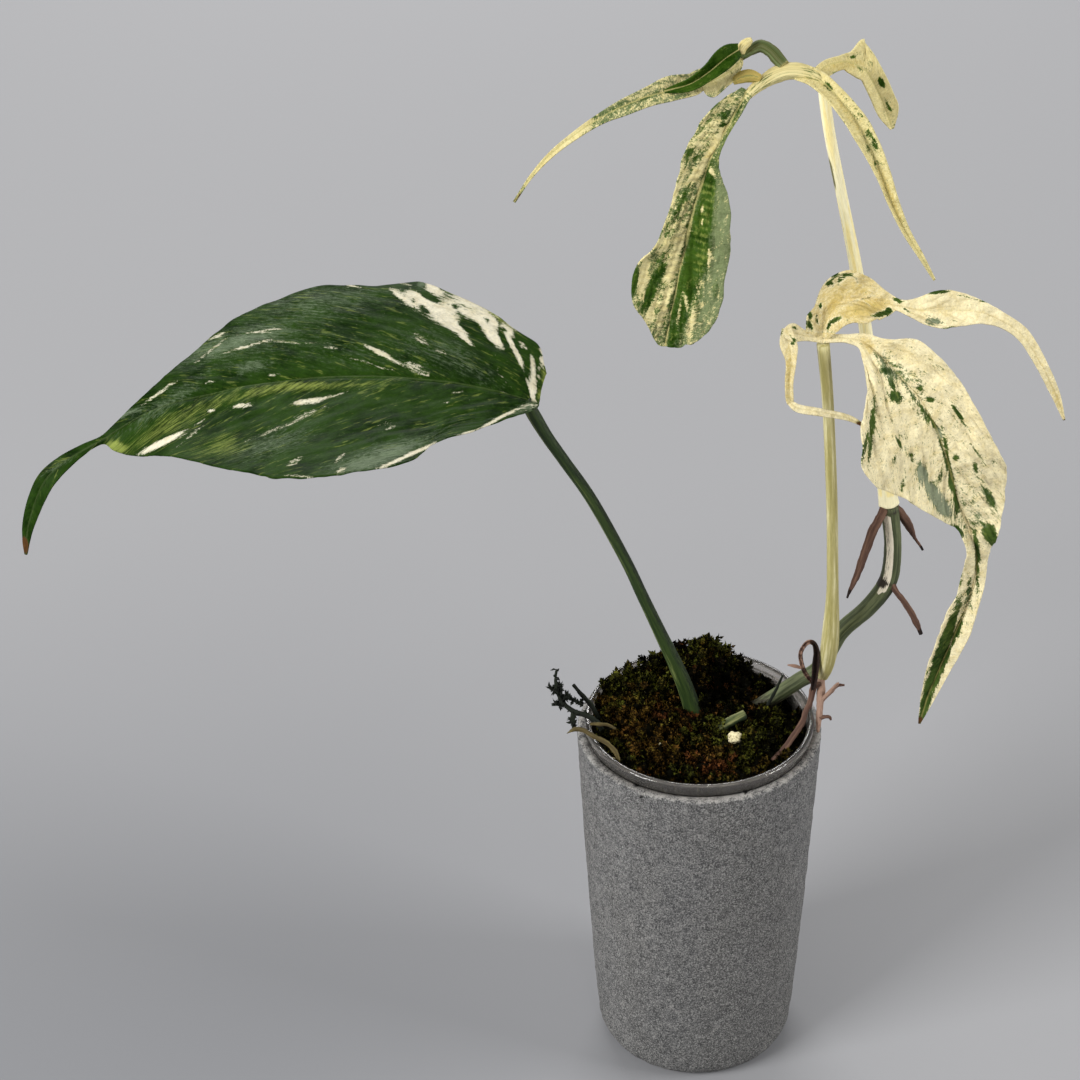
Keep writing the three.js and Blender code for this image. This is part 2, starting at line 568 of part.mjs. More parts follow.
function creamLeaf() {
  return joined([
    blade(BROAD_LOBE, { curl: [6, 6], ripple: [1.5, 5], across: 3 }),
    blade(FOLDED_LOBE, { curl: [10, 8], between: 1 }),
    blade(TONGUE_ARM, { across: 2 }),
    blade(TONGUE_FALL, { across: 2 }),
    blade(TONGUE_TIP, { across: 2 }),
    bead([38.9, -4.2, 307.2], [2.6, 2.2, 1.8]),
  ]);
}

function topLeaf() {
  return joined([
    rod(RACHIS),
    rod(LEFT_STALK),
    blade(RIGHT_LOBE, { curl: [24, 24], across: 3, between: 1 }),
    blade(BACK_LOBE, { curl: [16, 16], across: 3, between: 1 }),
    blade(HANGING_LOBE, { curl: [10, 10], ripple: [1, 4], across: 3 }),
    blade(LEFT_LOBE, { curl: [16, 16], across: 3, between: 1 }),
    blade(LEFT_TROUGH, { curl: [10, 10], across: 2 }),
    rod(KNOB, { sides: 6 }),
    rod(BULGE, { sides: 6 }),
  ]);
}

// Aerial roots at the nodes, and the dried ones that lie over the rim at the first node
const LEFT_ROOT = {
  points: [
    [65.4, 14, 227], [63.3, 11.6, 223.5], [61.2, 9.4, 220.8], [58.8, 7, 214.3], [55.8, 5, 205],
    [53, 3, 196.6],
  ],
  radii: [1.5, 1.6, 1.7, 1.5, 1.2, 0.5],
};
const RIGHT_ROOT = {
  points: [[69.4, 16.6, 226.5], [72, 17.6, 222.5], [75.1, 19, 217], [78.1, 20, 210.4], [81.4, 21, 204.5]],
  radii: [1.5, 1.6, 1.5, 1.1, 0.4],
};
const LOW_ROOT = {
  points: [[69, 12.6, 197], [71, 11.2, 193.6], [74.4, 10, 189], [77.9, 9, 183], [80.7, 8, 176.5]],
  radii: [1.3, 1.3, 1.3, 1.2, 0.8],
};
const RIM_OUTER = {
  points: [
    [45.3, 9, 156.7], [45, 6, 153.7], [44.6, 3, 151.4], [44.1, 0, 148], [43.6, -3.2, 145.5],
    [42.9, -7, 144.5],
  ],
  radii: [1.4, 1.5, 1.4, 1.2, 1, 0.7],
};
const RIM_INNER = {
  points: [
    [44.8, 7, 155.5], [43, 6.4, 155.6], [41.8, 5, 153.7], [40.7, 2, 150.9], [38.9, -1.5, 149.6],
    [36.9, -7.6, 149], [33.6, -12.9, 147.8], [30.6, -17.5, 146.6], [27.9, -20.8, 145.8], [24.7, -24, 145.3],
  ],
  radii: [1.1, 1.2, 1.2, 1.1, 1, 1.1, 1.1, 1.1, 1, 0.6],
};
const RIM_SPUR = {
  points: [[44.5, 2.6, 150.8], [47.3, 3.4, 153.8], [49.2, 3, 156.5], [50.9, 2.4, 159.4]],
  radii: [1.1, 0.9, 0.8, 0.5],
};
const RIM_FORK = {
  points: [[49.2, 3, 156.5], [51, 3, 157.8], [53.2, 3, 157.9]],
  radii: [0.7, 0.6, 0.4],
};
const RIM_HOOK = {
  points: [[43.8, -1.6, 146.8], [46, -1.5, 147], [47.6, -1.6, 147], [48.2, -2, 145.9]],
  radii: [0.9, 0.8, 0.6, 0.4],
};
const HUSK_BAND = {
  points: [
    [41.9, 5.2, 157.6], [39.1, 4.8, 162], [37.3, 5, 166.9], [37, 5.4, 171.5], [39.1, 6, 175.1],
    [41.7, 6.4, 174.8],
  ],
  radii: [1, 0.9, 0.8, 0.8, 0.8, 0.8],
};
const HUSK_STUB = {
  points: [[37.6, 5, 164.6], [34.9, 4.6, 165.9], [32.3, 4.2, 166.7]],
  radii: [0.8, 0.8, 0.5],
};
const HUSK_FLAP = {
  points: [[41, 6.4, 175], [43, 6.2, 171.5], [42.8, 5.6, 166.5], [42.3, 5.3, 161.8], [41.9, 5, 156.8]],
  radii: [0.8, 1.3, 1.7, 1.4, 0.9],
};

function rimRoot(swell = 0) {
  return joined([RIM_OUTER, RIM_INNER, RIM_SPUR, RIM_FORK, RIM_HOOK].map(
    ({ points, radii }) => stem(points, radii, { sides: 6, swell }),
  ));
}

function husk() {
  return joined([HUSK_BAND, HUSK_FLAP, HUSK_STUB].map((shape) => rod(shape, { sides: 6 })));
}

// What else lies on the moss: a cut stub of stem, a grain of perlite, a twig and a sprig over the lip
const STUB = { points: [[6.4, -4.4, 144.6], [11, -1.6, 145.6], [16.8, 1.2, 147]], radii: [1.5, 1.9, 1.7] };
const GRAIN = { centre: [12.3, -11.6, 146.2], radii: [2.7, 2.3, 2] };
const STICK = {
  points: [[-36.4, 4.6, 143.6], [-39.4, 5.2, 149.8], [-42.6, 5.6, 154], [-45.8, 6, 158.6]],
  radii: [0.9, 0.9, 0.8, 0.7],
};
const SPRIG = {
  points: [
    [-34.5, -4, 142.5], [-37.2, -3.4, 147.6], [-41, -2.2, 150.6], [-45.6, -0.8, 151.3], [-49, 0.2, 154],
    [-51.5, 0.5, 159], [-52.3, 0.5, 164.9], [-51.9, 0.5, 169.7],
  ],
  radii: [1, 1.1, 1.1, 1.3, 1.3, 1.2, 0.9, 0.4],
};
const SPRIG_TWIGS = [
  [[-51.5, 0.5, 159], [-53.1, 0.5, 160.5], [-54.4, 0.6, 161.4]],
  [[-49.6, 0.4, 154.9], [-51.2, 0.4, 153.8], [-52.8, 0.5, 154.6]],
  [[-50, 0.5, 155.7], [-48.7, 0.5, 157.2], [-48.2, 0.5, 158.6]],
  [[-51.5, 0.5, 159.4], [-50.8, 0.5, 160.8], [-50.4, 0.5, 162.4]],
  [[-48.8, 0.6, 157], [-45.4, 2, 154.3], [-42.2, 3.2, 152.2]],
  [[-45.8, -0.8, 151.2], [-46.4, -2.2, 148.6], [-46.2, -3.4, 146]],
];
const TWIG = {
  points: [
    [-30.2, -22.2, 145], [-31.5, -18.7, 146.6], [-34.4, -15.7, 148.2], [-39.6, -13.4, 150],
    [-42.5, -10.8, 150.4], [-45.7, -10.2, 150.6], [-48.7, -12.4, 150.4],
  ],
  radii: [0.7, 0.9, 0.9, 0.9, 0.9, 0.8, 0.3],
};

const SPRIG_TWIG_RADII = [0.8, 0.8, 0.4];

function sprig(swell = 0) {
  const main = rod(SPRIG, { sides: 7, swell });
  return joined([main, ...SPRIG_TWIGS.map(
    (points) => stem(points, SPRIG_TWIG_RADII, { sides: 5, swell }),
  )]);
}

function vine(swell = 0) {
  const roots = BURIED_ROOTS.map((points) => stem(points, BURIED_RADII, { sides: 5, swell }));
  return joined([rod(VINE, { swell }), ...roots]);
}

const vineRoom = vine(GAP);
const coarse = { sides: 7 };

function substrate() {
  const [x, y, z] = GRAIN.centre;
  return cut(mossPlug(), [
    vineRoom,
    roomFor(GREEN_PETIOLE),
    rimRoot(GAP),
    roomFor(STUB, coarse),
    roomFor(STICK, coarse),
    sprig(GAP),
    roomFor(TWIG, coarse),
    bead([x, y, z], GRAIN.radii.map((radius) => radius + GAP), 8),
  ]);
}

const model = new THREE.Group();

function place(name, body, finish) {
  const { vertProperties, triVerts } = body.getMesh();
  const shape = new THREE.BufferGeometry();
  shape.setAttribute('position', new THREE.BufferAttribute(vertProperties, 3));
  shape.setIndex(new THREE.BufferAttribute(triVerts, 1));
  shape.computeVertexNormals();
  const mesh = new THREE.Mesh(shape, new THREE.MeshStandardMaterial(finish));
  mesh.name = name;
  model.add(mesh);
}

place('cover_pot', coverPot(), STONE);
place('liner_pot', linerPot(), CLEAR);
place('moss_substrate', substrate(), MOSS);
place('vine_stem', vine(), STEM_GREEN);
place('petiole_green_leaf', cut(rod(GREEN_PETIOLE), [vineRoom]), STEM_GREEN);
place('petiole_cream_leaf', cut(rod(CREAM_PETIOLE), [vineRoom]), STEM_CREAM);
place('petiole_top_leaf', cut(rod(TOP_PETIOLE), [vineRoom]), STEM_CREAM);
place('green_leaf', cut(greenLeaf(), [roomFor(GREEN_PETIOLE)]), LEAF_GREEN);
place('cream_leaf', cut(creamLeaf(), [roomFor(CREAM_PETIOLE)]), LEAF_CREAM);
place('top_leaf', cut(topLeaf(), [roomFor(TOP_PETIOLE)]), LEAF_MOTTLED);
place('aerial_root_left', cut(rod(LEFT_ROOT, coarse), [vineRoom, roomFor(TOP_PETIOLE)]), ROOT_BROWN);
place('aerial_root_right', cut(rod(RIGHT_ROOT, coarse), [vineRoom, roomFor(TOP_PETIOLE)]), ROOT_BROWN);
place('aerial_root_low', cut(rod(LOW_ROOT, coarse), [vineRoom]), ROOT_BROWN);
place('root_over_rim', cut(rimRoot(), [vineRoom, roomFor(CREAM_PETIOLE)]), ROOT_BROWN);
place('dried_husk', cut(husk(), [vineRoom, roomFor(CREAM_PETIOLE), rimRoot(GAP)]), HUSK_BROWN);
place('cut_stub', rod(STUB, coarse), STEM_GREEN);
place('perlite_grain', bead(GRAIN.centre, GRAIN.radii, 8), PERLITE);
place('dark_stick', rod(STICK, coarse), SPRIG_DARK);
place('moss_sprig', sprig(), SPRIG_DARK);
place('pale_twig', rod(TWIG, coarse), ROOT_BROWN);

export default model;
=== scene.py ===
import bpy
import numpy as np
from mathutils import Matrix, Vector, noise


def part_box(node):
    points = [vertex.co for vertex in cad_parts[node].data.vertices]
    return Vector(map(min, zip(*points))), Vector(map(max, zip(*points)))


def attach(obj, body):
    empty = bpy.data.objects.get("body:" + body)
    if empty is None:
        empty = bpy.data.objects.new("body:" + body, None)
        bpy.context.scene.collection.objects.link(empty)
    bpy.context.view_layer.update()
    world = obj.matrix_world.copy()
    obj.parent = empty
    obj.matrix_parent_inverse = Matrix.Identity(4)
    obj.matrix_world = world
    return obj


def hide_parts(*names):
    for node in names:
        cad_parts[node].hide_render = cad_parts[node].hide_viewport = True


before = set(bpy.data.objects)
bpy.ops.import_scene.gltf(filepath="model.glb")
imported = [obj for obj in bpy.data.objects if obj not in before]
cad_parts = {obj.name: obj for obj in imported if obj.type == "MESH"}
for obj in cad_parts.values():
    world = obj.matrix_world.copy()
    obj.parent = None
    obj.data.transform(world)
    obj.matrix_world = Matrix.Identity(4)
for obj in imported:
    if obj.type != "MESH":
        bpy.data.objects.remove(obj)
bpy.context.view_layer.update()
bpy.ops.object.select_all(action="DESELECT")

MM = 0.001
DM = 0.01
BODY = "root"

# The camera of the photograph: a square frame, its focal length in pixels, and where it stands
PHOTO = 1080
FOCAL = 2700
PITCH = np.radians(33.26)
ROLL = np.radians(-1.3)
EYE = np.array([-56.8, -791.2, 745.2])
SENSOR = 36
AHEAD = np.array([0, np.cos(PITCH), -np.sin(PITCH)])
LEVEL_RIGHT = np.array([1.0, 0, 0])
LEVEL_UP = np.cross(LEVEL_RIGHT, AHEAD)
RIGHT = np.cos(ROLL) * LEVEL_RIGHT + np.sin(ROLL) * LEVEL_UP
UP = np.cos(ROLL) * LEVEL_UP - np.sin(ROLL) * LEVEL_RIGHT

# Blades are laid out by the side that they show, which looks forward and up at this pitch.
SHOWN_PITCH = np.radians(33)
FACING = np.array([0, -np.cos(SHOWN_PITCH), np.sin(SHOWN_PITCH)])


def in_photo(points):
    """The pixels of the photograph that points fall on"""
    seen = points - EYE
    depth = seen @ AHEAD
    return np.stack([PHOTO / 2 + FOCAL * (seen @ RIGHT) / depth, PHOTO / 2 - FOCAL * (seen @ UP) / depth], -1)


def unit(vectors):
    return vectors / np.maximum(np.linalg.norm(vectors, axis=-1, keepdims=True), 1e-9)


def through(points, count):
    """Points of a Catmull-Rom curve through the given ones, evenly spaced in its parameter"""
    given = np.asarray(points, float)
    if given.ndim == 1:
        given = given[:, None]
    ends = np.vstack([2 * given[0] - given[1], given, 2 * given[-1] - given[-2]])
    place = np.linspace(0, len(given) - 1, count)
    start = np.minimum(place.astype(int), len(given) - 2)
    share = (place - start)[:, None]
    before, here, there, after = (ends[start + k] for k in range(4))
    leaving = 0.5 * (there - before)
    arriving = 0.5 * (after - here)
    bend = 3 * (there - here) - 2 * leaving - arriving
    twist = 2 * (here - there) + leaving + arriving
    return here + leaving * share + bend * share**2 + twist * share**3


def mound(x, y, centre_x, centre_y, spread):
    """1 at a place, falling off smoothly to 0 all round it"""
    return np.exp(-((x - centre_x) ** 2 + (y - centre_y) ** 2) / spread**2)


def lumps(points, scale, seed=0.0, octaves=3):
    """Smooth noise at points, about -1 to 1, with features of the given size"""
    flat = np.asarray(points, float).reshape(-1, 3) / scale + seed
    values = [noise.fractal(p, 0.9, 2.1, octaves) for p in flat]
    return np.array(values).reshape(np.shape(points)[:-1])


# Meshes

def set_marks(mesh, marks):
    layer = mesh.color_attributes.new("marks", "FLOAT_COLOR", "POINT")
    layer.data.foreach_set("color", np.asarray(marks, np.float32).ravel())


def piece_from(name, points, faces, fibre, marks):
    """An object whose place is in its mesh, with the pattern's own coordinates and its painted weights"""
    mesh = bpy.data.meshes.new(name)
    mesh.from_pydata((np.asarray(points).reshape(-1, 3) * MM).tolist(), [], faces)
    layer = mesh.attributes.new("fibre", "FLOAT_VECTOR", "POINT")
    layer.data.foreach_set("vector", (np.asarray(fibre, np.float32) * DM).ravel())
    set_marks(mesh, marks)
    made = bpy.data.objects.new(name, mesh)
    bpy.context.scene.collection.objects.link(made)
    return made


def apply_modifier(piece, kind, **settings):
    bpy.context.view_layer.objects.active = piece
    bpy.ops.object.modifier_add(type=kind)
    modifier = piece.modifiers[-1]
    for name, value in settings.items():
        setattr(modifier, name, value)
    bpy.ops.object.modifier_apply(modifier=modifier.name)


def dress(piece, nodes, slot, *materials, smooth=True):
    """Smooths a piece, gives it its finish, and puts it in the frame in place of its CAD nodes"""
    piece.data.materials.clear()
    for material in materials:
        piece.data.materials.append(material)
    piece.data.polygons.foreach_set("use_smooth", [smooth] * len(piece.data.polygons))
    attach(piece, BODY)
    if nodes:
        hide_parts(*nodes)


def grid_faces(rows, columns, closed=False):
    """Quads between the points of a grid, row by row; a closed grid joins its last column to its first"""
    across = np.arange(columns if closed else columns - 1)
    beside = (across + 1) % columns
    start = np.arange(rows - 1)[:, None] * columns
    quads = np.stack([start + across, start + beside, start + columns + beside, start + columns + across], -1)
    return quads.reshape(-1, 4).tolist()


# The size of the lumps of bark
BARK_LUMP = 2.4


def tube(points, radii, sides, per, flutes=(0, 0), roughness=0.0, seed=0.0, squash=1.0):
    """Points, faces and fibre coordinates of a stem, with `per` rings from one of its points to the next.
    Flutes are how many ridges it has and how deep."""
    count = (len(points) - 1) * per + 1
    spine = through(points, count)
    girth = through(radii, count)
    along = np.concatenate([[0], np.cumsum(np.linalg.norm(np.diff(spine, axis=0), axis=1))])
    tangent = unit(np.gradient(spine, axis=0))
    side = np.array([0, 1.0, 0])
    turn = 2 * np.pi * np.arange(sides) / sides
    ridge, depth = flutes
    section = 1 + depth * np.cos(ridge * turn)
    rings, radial = [], []
    for centre, ahead, radius in zip(spine, tangent, girth):
        side = unit(side - (side @ ahead) * ahead)
        other = np.cross(ahead, side)
        out = np.cos(turn)[:, None] * side + squash * np.sin(turn)[:, None] * other
        rings.append(centre + out * (radius * section)[:, None])
        radial.append(out)
    rings, radial = np.array(rings), np.array(radial)
    if roughness:
        rings += radial * (roughness * lumps(rings, BARK_LUMP, seed))[..., None]
    fibre = np.concatenate([
        np.broadcast_to(np.stack([np.cos(turn), np.sin(turn)], -1) * girth[:, None], (count, sides, 2)),
        np.broadcast_to(along[:, None, None], (count, sides, 1)),
    ], -1)
    faces = grid_faces(count, sides, closed=True)
    faces.append(list(range(sides))[::-1])
    faces.append(list(range((count - 1) * sides, count * sides)))
    return {"points": rings, "faces": faces, "fibre": fibre, "radial": radial,
            "share": np.broadcast_to((along / along[-1])[:, None], (count, sides))}


def merged(name, parts):
    """One object from several sets of points, faces, fibre coordinates and marks"""
    faces, first = [], 0
    for part in parts:
        faces += [[first + corner for corner in face] for face in part["faces"]]
        first += part["points"].reshape(-1, 3).shape[0]
    stack = {key: np.concatenate([part[key].reshape(-1, part[key].shape[-1]) for part in parts])
             for key in ("points", "fibre", "marks")}
    return piece_from(name, stack["points"], faces, stack["fibre"], stack["marks"])


# Painted weights: how much cream, grey-green and lime a place has, and how dry it is
CREAM = (1, 0, 0, 0)
DEEP = (0, 0, 0, 0)
GREY = (0.12, 1, 0, 0)
LIME = (0, 0, 1, 0)
SLATE = (0.1, 1, 0, 0)
MOTTLE = (0.42, 0.6, 0.1, 0)
SAGE = (0.3, 0.8, 0, 0)
FLECKED = (0.6, 0.2, 0.15, 0)
TAN = (0.9, 0, 0.8, 0)
DRY = (0.2, 0.2, 0, 1)
HAZES = (GREY, LIME, MOTTLE, SAGE, FLECKED)

# How sharp the edges of strokes are, and the half width from which a stroke is broad
HAZE_EDGE = 2.6
THIN_EDGE = 3.6
BROAD_EDGE = 6
BROAD_FROM = 2.5


def edge_of(paint, half_width):
    """How sharp a stroke's edge is: haze fades out furthest, and thin strokes further than broad ones"""
    if paint in HAZES:
        return HAZE_EDGE
    return THIN_EDGE if half_width < BROAD_FROM else BROAD_EDGE


def painted(points, ground, strokes):
    """The weights at points: a ground, and over it strokes of (paint, x, y, half length, half width, angle)
    in the photograph, with a share for thin ones."""
    marks = np.empty(points.shape[:-1] + (4,))
    marks[:] = ground
    x, y = np.moveaxis(in_photo(points), -1, 0)
    for paint, centre_x, centre_y, half_length, half_width, angle, *share in strokes:
        lean = np.radians(angle)
        ahead = ((x - centre_x) * np.cos(lean) + (y - centre_y) * np.sin(lean)) / half_length
        beside = ((y - centre_y) * np.cos(lean) - (x - centre_x) * np.sin(lean)) / half_width
        cover = 1 / (1 + np.exp(edge_of(paint, half_width) * (np.hypot(ahead, beside) - 1)))
        cover = (cover * (share[0] if share else 1))[..., None]
        marks = marks * (1 - cover) + np.array(paint) * cover
    return marks


# How a blade's margin waves: the pitch of its waves, the width from which they are full, and the least width
FRILL_PITCH = 5
FRILL_WIDTH = 8
LEAST_WIDTH = 0.15

# How much of a vein's way to the margin bends back
VEIN_BEND = 0.25

# The relief of a blade: the half width from which it is full, how far from the rib the quilting starts, where
# the ladder of rungs beside the rib lies and how wide it is, and how wide the groove over the rib is
FULL_WIDTH = 7
QUILT_START = 3
LADDER_PLACE = 3.5
LADDER_WIDTH = 3
GROOVE_WIDTH = 0.8


def relief_of(along, across, vein, width, quilt, groove, ladder):
    """How far a blade rises: quilted between its veins, laddered beside the rib and grooved over it"""
    away = np.abs(across)
    broad = np.minimum(1, width / FULL_WIDTH)
    edge = away / np.maximum(width, 1e-6)
    pitch, depth = quilt
    bulge = depth * (np.abs(np.sin(np.pi * vein / pitch)) - 0.6) * np.minimum(1, away / QUILT_START) * broad
    bulge *= 1 - edge**4
    rung, rise = ladder
    near_rib = np.exp(-(((away - LADDER_PLACE) / LADDER_WIDTH) ** 2)) * broad
    bulge += rise * np.sin(2 * np.pi * (along - 0.3 * away) / rung) * near_rib
    return bulge - groove * np.exp(-((across / GROOVE_WIDTH) ** 2)) * broad


def unevenness(along, across, vein, run, width, wobble, seed):
    """How far a blade strays from its smooth curve: slow swells, and ridges that follow its veins"""
    flat = np.stack([along + 0 * across, across, 0 * across], -1)
    ridged = np.stack([vein, 0.3 * run, np.sign(across) * 9], -1)
    drift = 0.6 * lumps(flat, 14.0, seed) + 0.55 * lumps(ridged, 4.0, seed + 5)
    return wobble * drift * np.minimum(1, width / 10)


def lobe(stations, curl=(0, 0), ripple=(0, 1), per=10, columns=5, slope=1.2, quilt=(7, 0.25), groove=0.35,
         ground=CREAM, strokes=(), seed=0.0, wobble=0.25, frill=0.03, ladder=(3, 0)):
    """One blade or lobe as a sheet of points. Each station is [rib point], [width, tilt, sweep] of its right
    half and of its left half. Curl is in degrees for each half, ripple is how high and how many, quilt is its
    pitch and depth, and ladder its rung and rise. Veins leave the rib at the slope."""
    count = (len(stations) - 1) * per + 1
    rib = through([s[0] for s in stations], count)
    tangent = unit(np.gradient(rib, axis=0))
    beside = unit(np.cross(tangent, FACING))
    above = np.cross(beside, tangent)
    along = np.concatenate([[0], np.cumsum(np.linalg.norm(np.diff(rib, axis=0), axis=1))])
    share = np.linspace(0, 1, count)
    steps = (np.arange(columns) + 0.5) / columns
    reach = (np.arange(columns) + 1) / columns
    wave = 2 * np.pi * ripple[1] * share
    fade = np.sin(np.pi * share) * ripple[0]
    halves, spread = [], []
    for half, side, rolled in ((1, 1, np.sin(wave)), (2, -1, np.cos(wave))):
        width, tilt, sweep = through([s[half] for s in stations], count).T
        margin = [noise.noise((a / FRILL_PITCH, seed + side, 0)) for a in along]
        waved = 1 + frill * np.array(margin) * np.minimum(1, width / FRILL_WIDTH)
        width = np.maximum(width * waved, LEAST_WIDTH)
        angle = np.radians(tilt[:, None] + curl[half - 1] * steps)
        out = np.cumsum(np.cos(angle), 1) * width[:, None] / columns
        up = np.cumsum(np.sin(angle), 1) * width[:, None] / columns + (fade * rolled)[:, None] * reach**2
        forward = sweep[:, None] * reach**2
        halves.append(rib[:, None] + side * out[..., None] * beside[:, None] + up[..., None] * above[:, None]
                      + forward[..., None] * tangent[:, None])
        spread.append(side * width[:, None] * reach)
    grid = np.concatenate([halves[1][:, ::-1], rib[:, None], halves[0]], 1)
    across = np.concatenate([spread[1][:, ::-1], np.zeros((count, 1)), spread[0]], 1)
    away = np.abs(across)
    width = np.concatenate([away[:, :1].repeat(columns, 1), np.ones((count, 1)),
                            away[:, -1:].repeat(columns, 1)], 1)
    along = along[:, None]
    slope = np.where(across > 0, *(slope if np.ndim(slope) else (slope, slope)))
    vein = (along - slope * away * (1 - VEIN_BEND + VEIN_BEND * away / width)) / np.hypot(1, slope)
    run = (slope * along + away) / np.hypot(1, slope)
    normal = unit(np.cross(np.gradient(grid, axis=1), np.gradient(grid, axis=0)))
    rise = relief_of(along, across, vein, width, quilt, groove, ladder)
    rise = rise + unevenness(along, across, vein, run, width, wobble, seed)
    grid = grid + rise[..., None] * normal
    return {"points": grid, "faces": grid_faces(*grid.shape[:2]), "fibre": np.stack([vein, run, across], -1),
            "marks": painted(grid, ground, strokes)}


# How thick a blade is
BLADE_THICKNESS = 0.5


def leaf(name, lobes, slot, skin, underside):
    """Lobes joined in one piece and given their thickness, with the underside in its own finish"""
    made = merged(name + "_blade", lobes)
    made.data.materials.append(skin)
    made.data.materials.append(underside)
    apply_modifier(made, "SOLIDIFY", thickness=BLADE_THICKNESS * MM, offset=0, material_offset=1)
    sides = np.zeros(len(made.data.polygons), np.int32)
    made.data.polygons.foreach_get("material_index", sides)
    dress(made, [name], slot, skin, underside)
    made.data.polygons.foreach_set("material_index", sides)


# Materials

def colour(code):
    """A linear colour from its usual six-digit code"""
    parts = np.array([int(code[k:k + 2], 16) / 255 for k in (0, 2, 4)])
    linear = np.where(parts <= 0.04045, parts / 12.92, ((parts + 0.055) / 1.055) ** 2.4)
    return (*linear.tolist(), 1)


class Graph:
    """Adds shader nodes to a tree; an input is a number, a colour or another node's output"""

    def __init__(self, tree):
        self.tree = tree

    def feed(self, socket, value):
        if isinstance(value, bpy.types.NodeSocket):
            self.tree.links.new(value, socket)
        else:
            socket.default_value = value

    def add(self, kind, inputs=None, **settings):
        made = self.tree.nodes.new("ShaderNode" + kind)
        for name, value in settings.items():
            setattr(made, name, value)
        for name, value in (inputs or {}).items():
            self.feed(made.inputs[name], value)
        return made

    def maths(self, operation, first, second=0.5):
        return self.add("Math", {0: first, 1: second}, operation=operation).outputs[0]

    def plus(self, first, second):
        return self.maths("ADD", first, second)

    def minus(self, first, second):
        return self.maths("SUBTRACT", first, second)

    def times(self, first, second):
        return self.maths("MULTIPLY", first, second)

    def blend(self, first, second, share):
        return self.plus(self.times(first, share), self.times(second, 1 - share))

    def mix(self, share, first, second, blend="MIX"):
        inputs = {0: share, 6: first, 7: second}
        return self.add("Mix", inputs, data_type="RGBA", blend_type=blend).outputs[2]

    def noise(self, place, scale, detail=3.0, roughness=0.6, distortion=0.0):
        inputs = {"Vector": place, "Scale": scale, "Detail": detail, "Roughness": roughness,
                  "Distortion": distortion}
        return self.add("TexNoise", inputs).outputs["Fac"]

    def ramp(self, value, start, end):
        inputs = {"Value": value, "From Min": start, "From Max": end}
        return self.add("MapRange", inputs, interpolation_type="SMOOTHSTEP").outputs[0]

    def above(self, value, edge, soft):
        """1 where a value is above an edge and 0 where it is below"""
        return self.ramp(value, edge - soft, edge + soft)

    def below(self, value, edge, soft):
        return self.minus(1.0, self.above(value, edge, soft))

    def swing(self, source, contrast):
        """A noise as a value that swings about 0"""
        return self.times(self.minus(source, 0.5), contrast)

    def broken(self, weight, source, contrast, soft):
        """1 where a painted weight is over a half, with its edge broken up by a noise"""
        return self.above(self.plus(weight, self.swing(source, contrast)), 0.5, soft)

    def over(self, shade, tint, source, edge, soft, share=1.0):
        """A shade, with a share of a tint over it where the source is above the edge"""
        return self.mix(self.times(self.above(source, edge, soft), share), shade, tint)

    def stretched(self, place, x, y, z):
        return self.add("VectorMath", {0: place, 1: (x, y, z)}, operation="MULTIPLY").outputs[0]

    def moved(self, place, x, y, z):
        return self.add("VectorMath", {0: place, 1: (x, y, z)}, operation="ADD").outputs[0]

    def attribute(self, name, output="Vector"):
        return self.add("Attribute", attribute_name=name).outputs[output]

    def weights(self):
        """The painted weights, one after another"""
        return self.add("SeparateColor", {0: self.attribute("marks", "Color")}).outputs

    def place(self):
        return self.add("TexCoord").outputs["Object"]


def new_group(name, inputs, outputs):
    """A shader node group with named sockets, the graph in it, what it is given and what it has to make"""
    group = bpy.data.node_groups.new(name, "ShaderNodeTree")
    kinds = {"vector": "NodeSocketVector", "colour": "NodeSocketColor", "value": "NodeSocketFloat"}
    for way, sockets in (("INPUT", inputs), ("OUTPUT", outputs)):
        for socket, kind in sockets.items():
            group.interface.new_socket(socket, in_out=way, socket_type=kinds[kind])
    given = group.nodes.new("NodeGroupInput").outputs
    made = group.nodes.new("NodeGroupOutput").inputs
    return group, Graph(group), given, made


def use_group(graph, group, inputs):
    made = graph.tree.nodes.new("ShaderNodeGroup")
    made.node_tree = group
    for name, value in inputs.items():
        graph.feed(made.inputs[name], value)
    return made.outputs


def new_material(name):
    material = bpy.data.materials.new(name)
    material.use_nodes = True
    graph = Graph(material.node_tree)
    return material, graph, material.node_tree.nodes["Principled BSDF"]


def bumped(graph, shader, height, strength, distance):
    """Relief from a height, `distance` in millimetres"""
    inputs = {"Height": height, "Strength": strength, "Distance": distance * MM}
    graph.feed(shader.inputs["Normal"], graph.add("Bump", inputs).outputs[0])


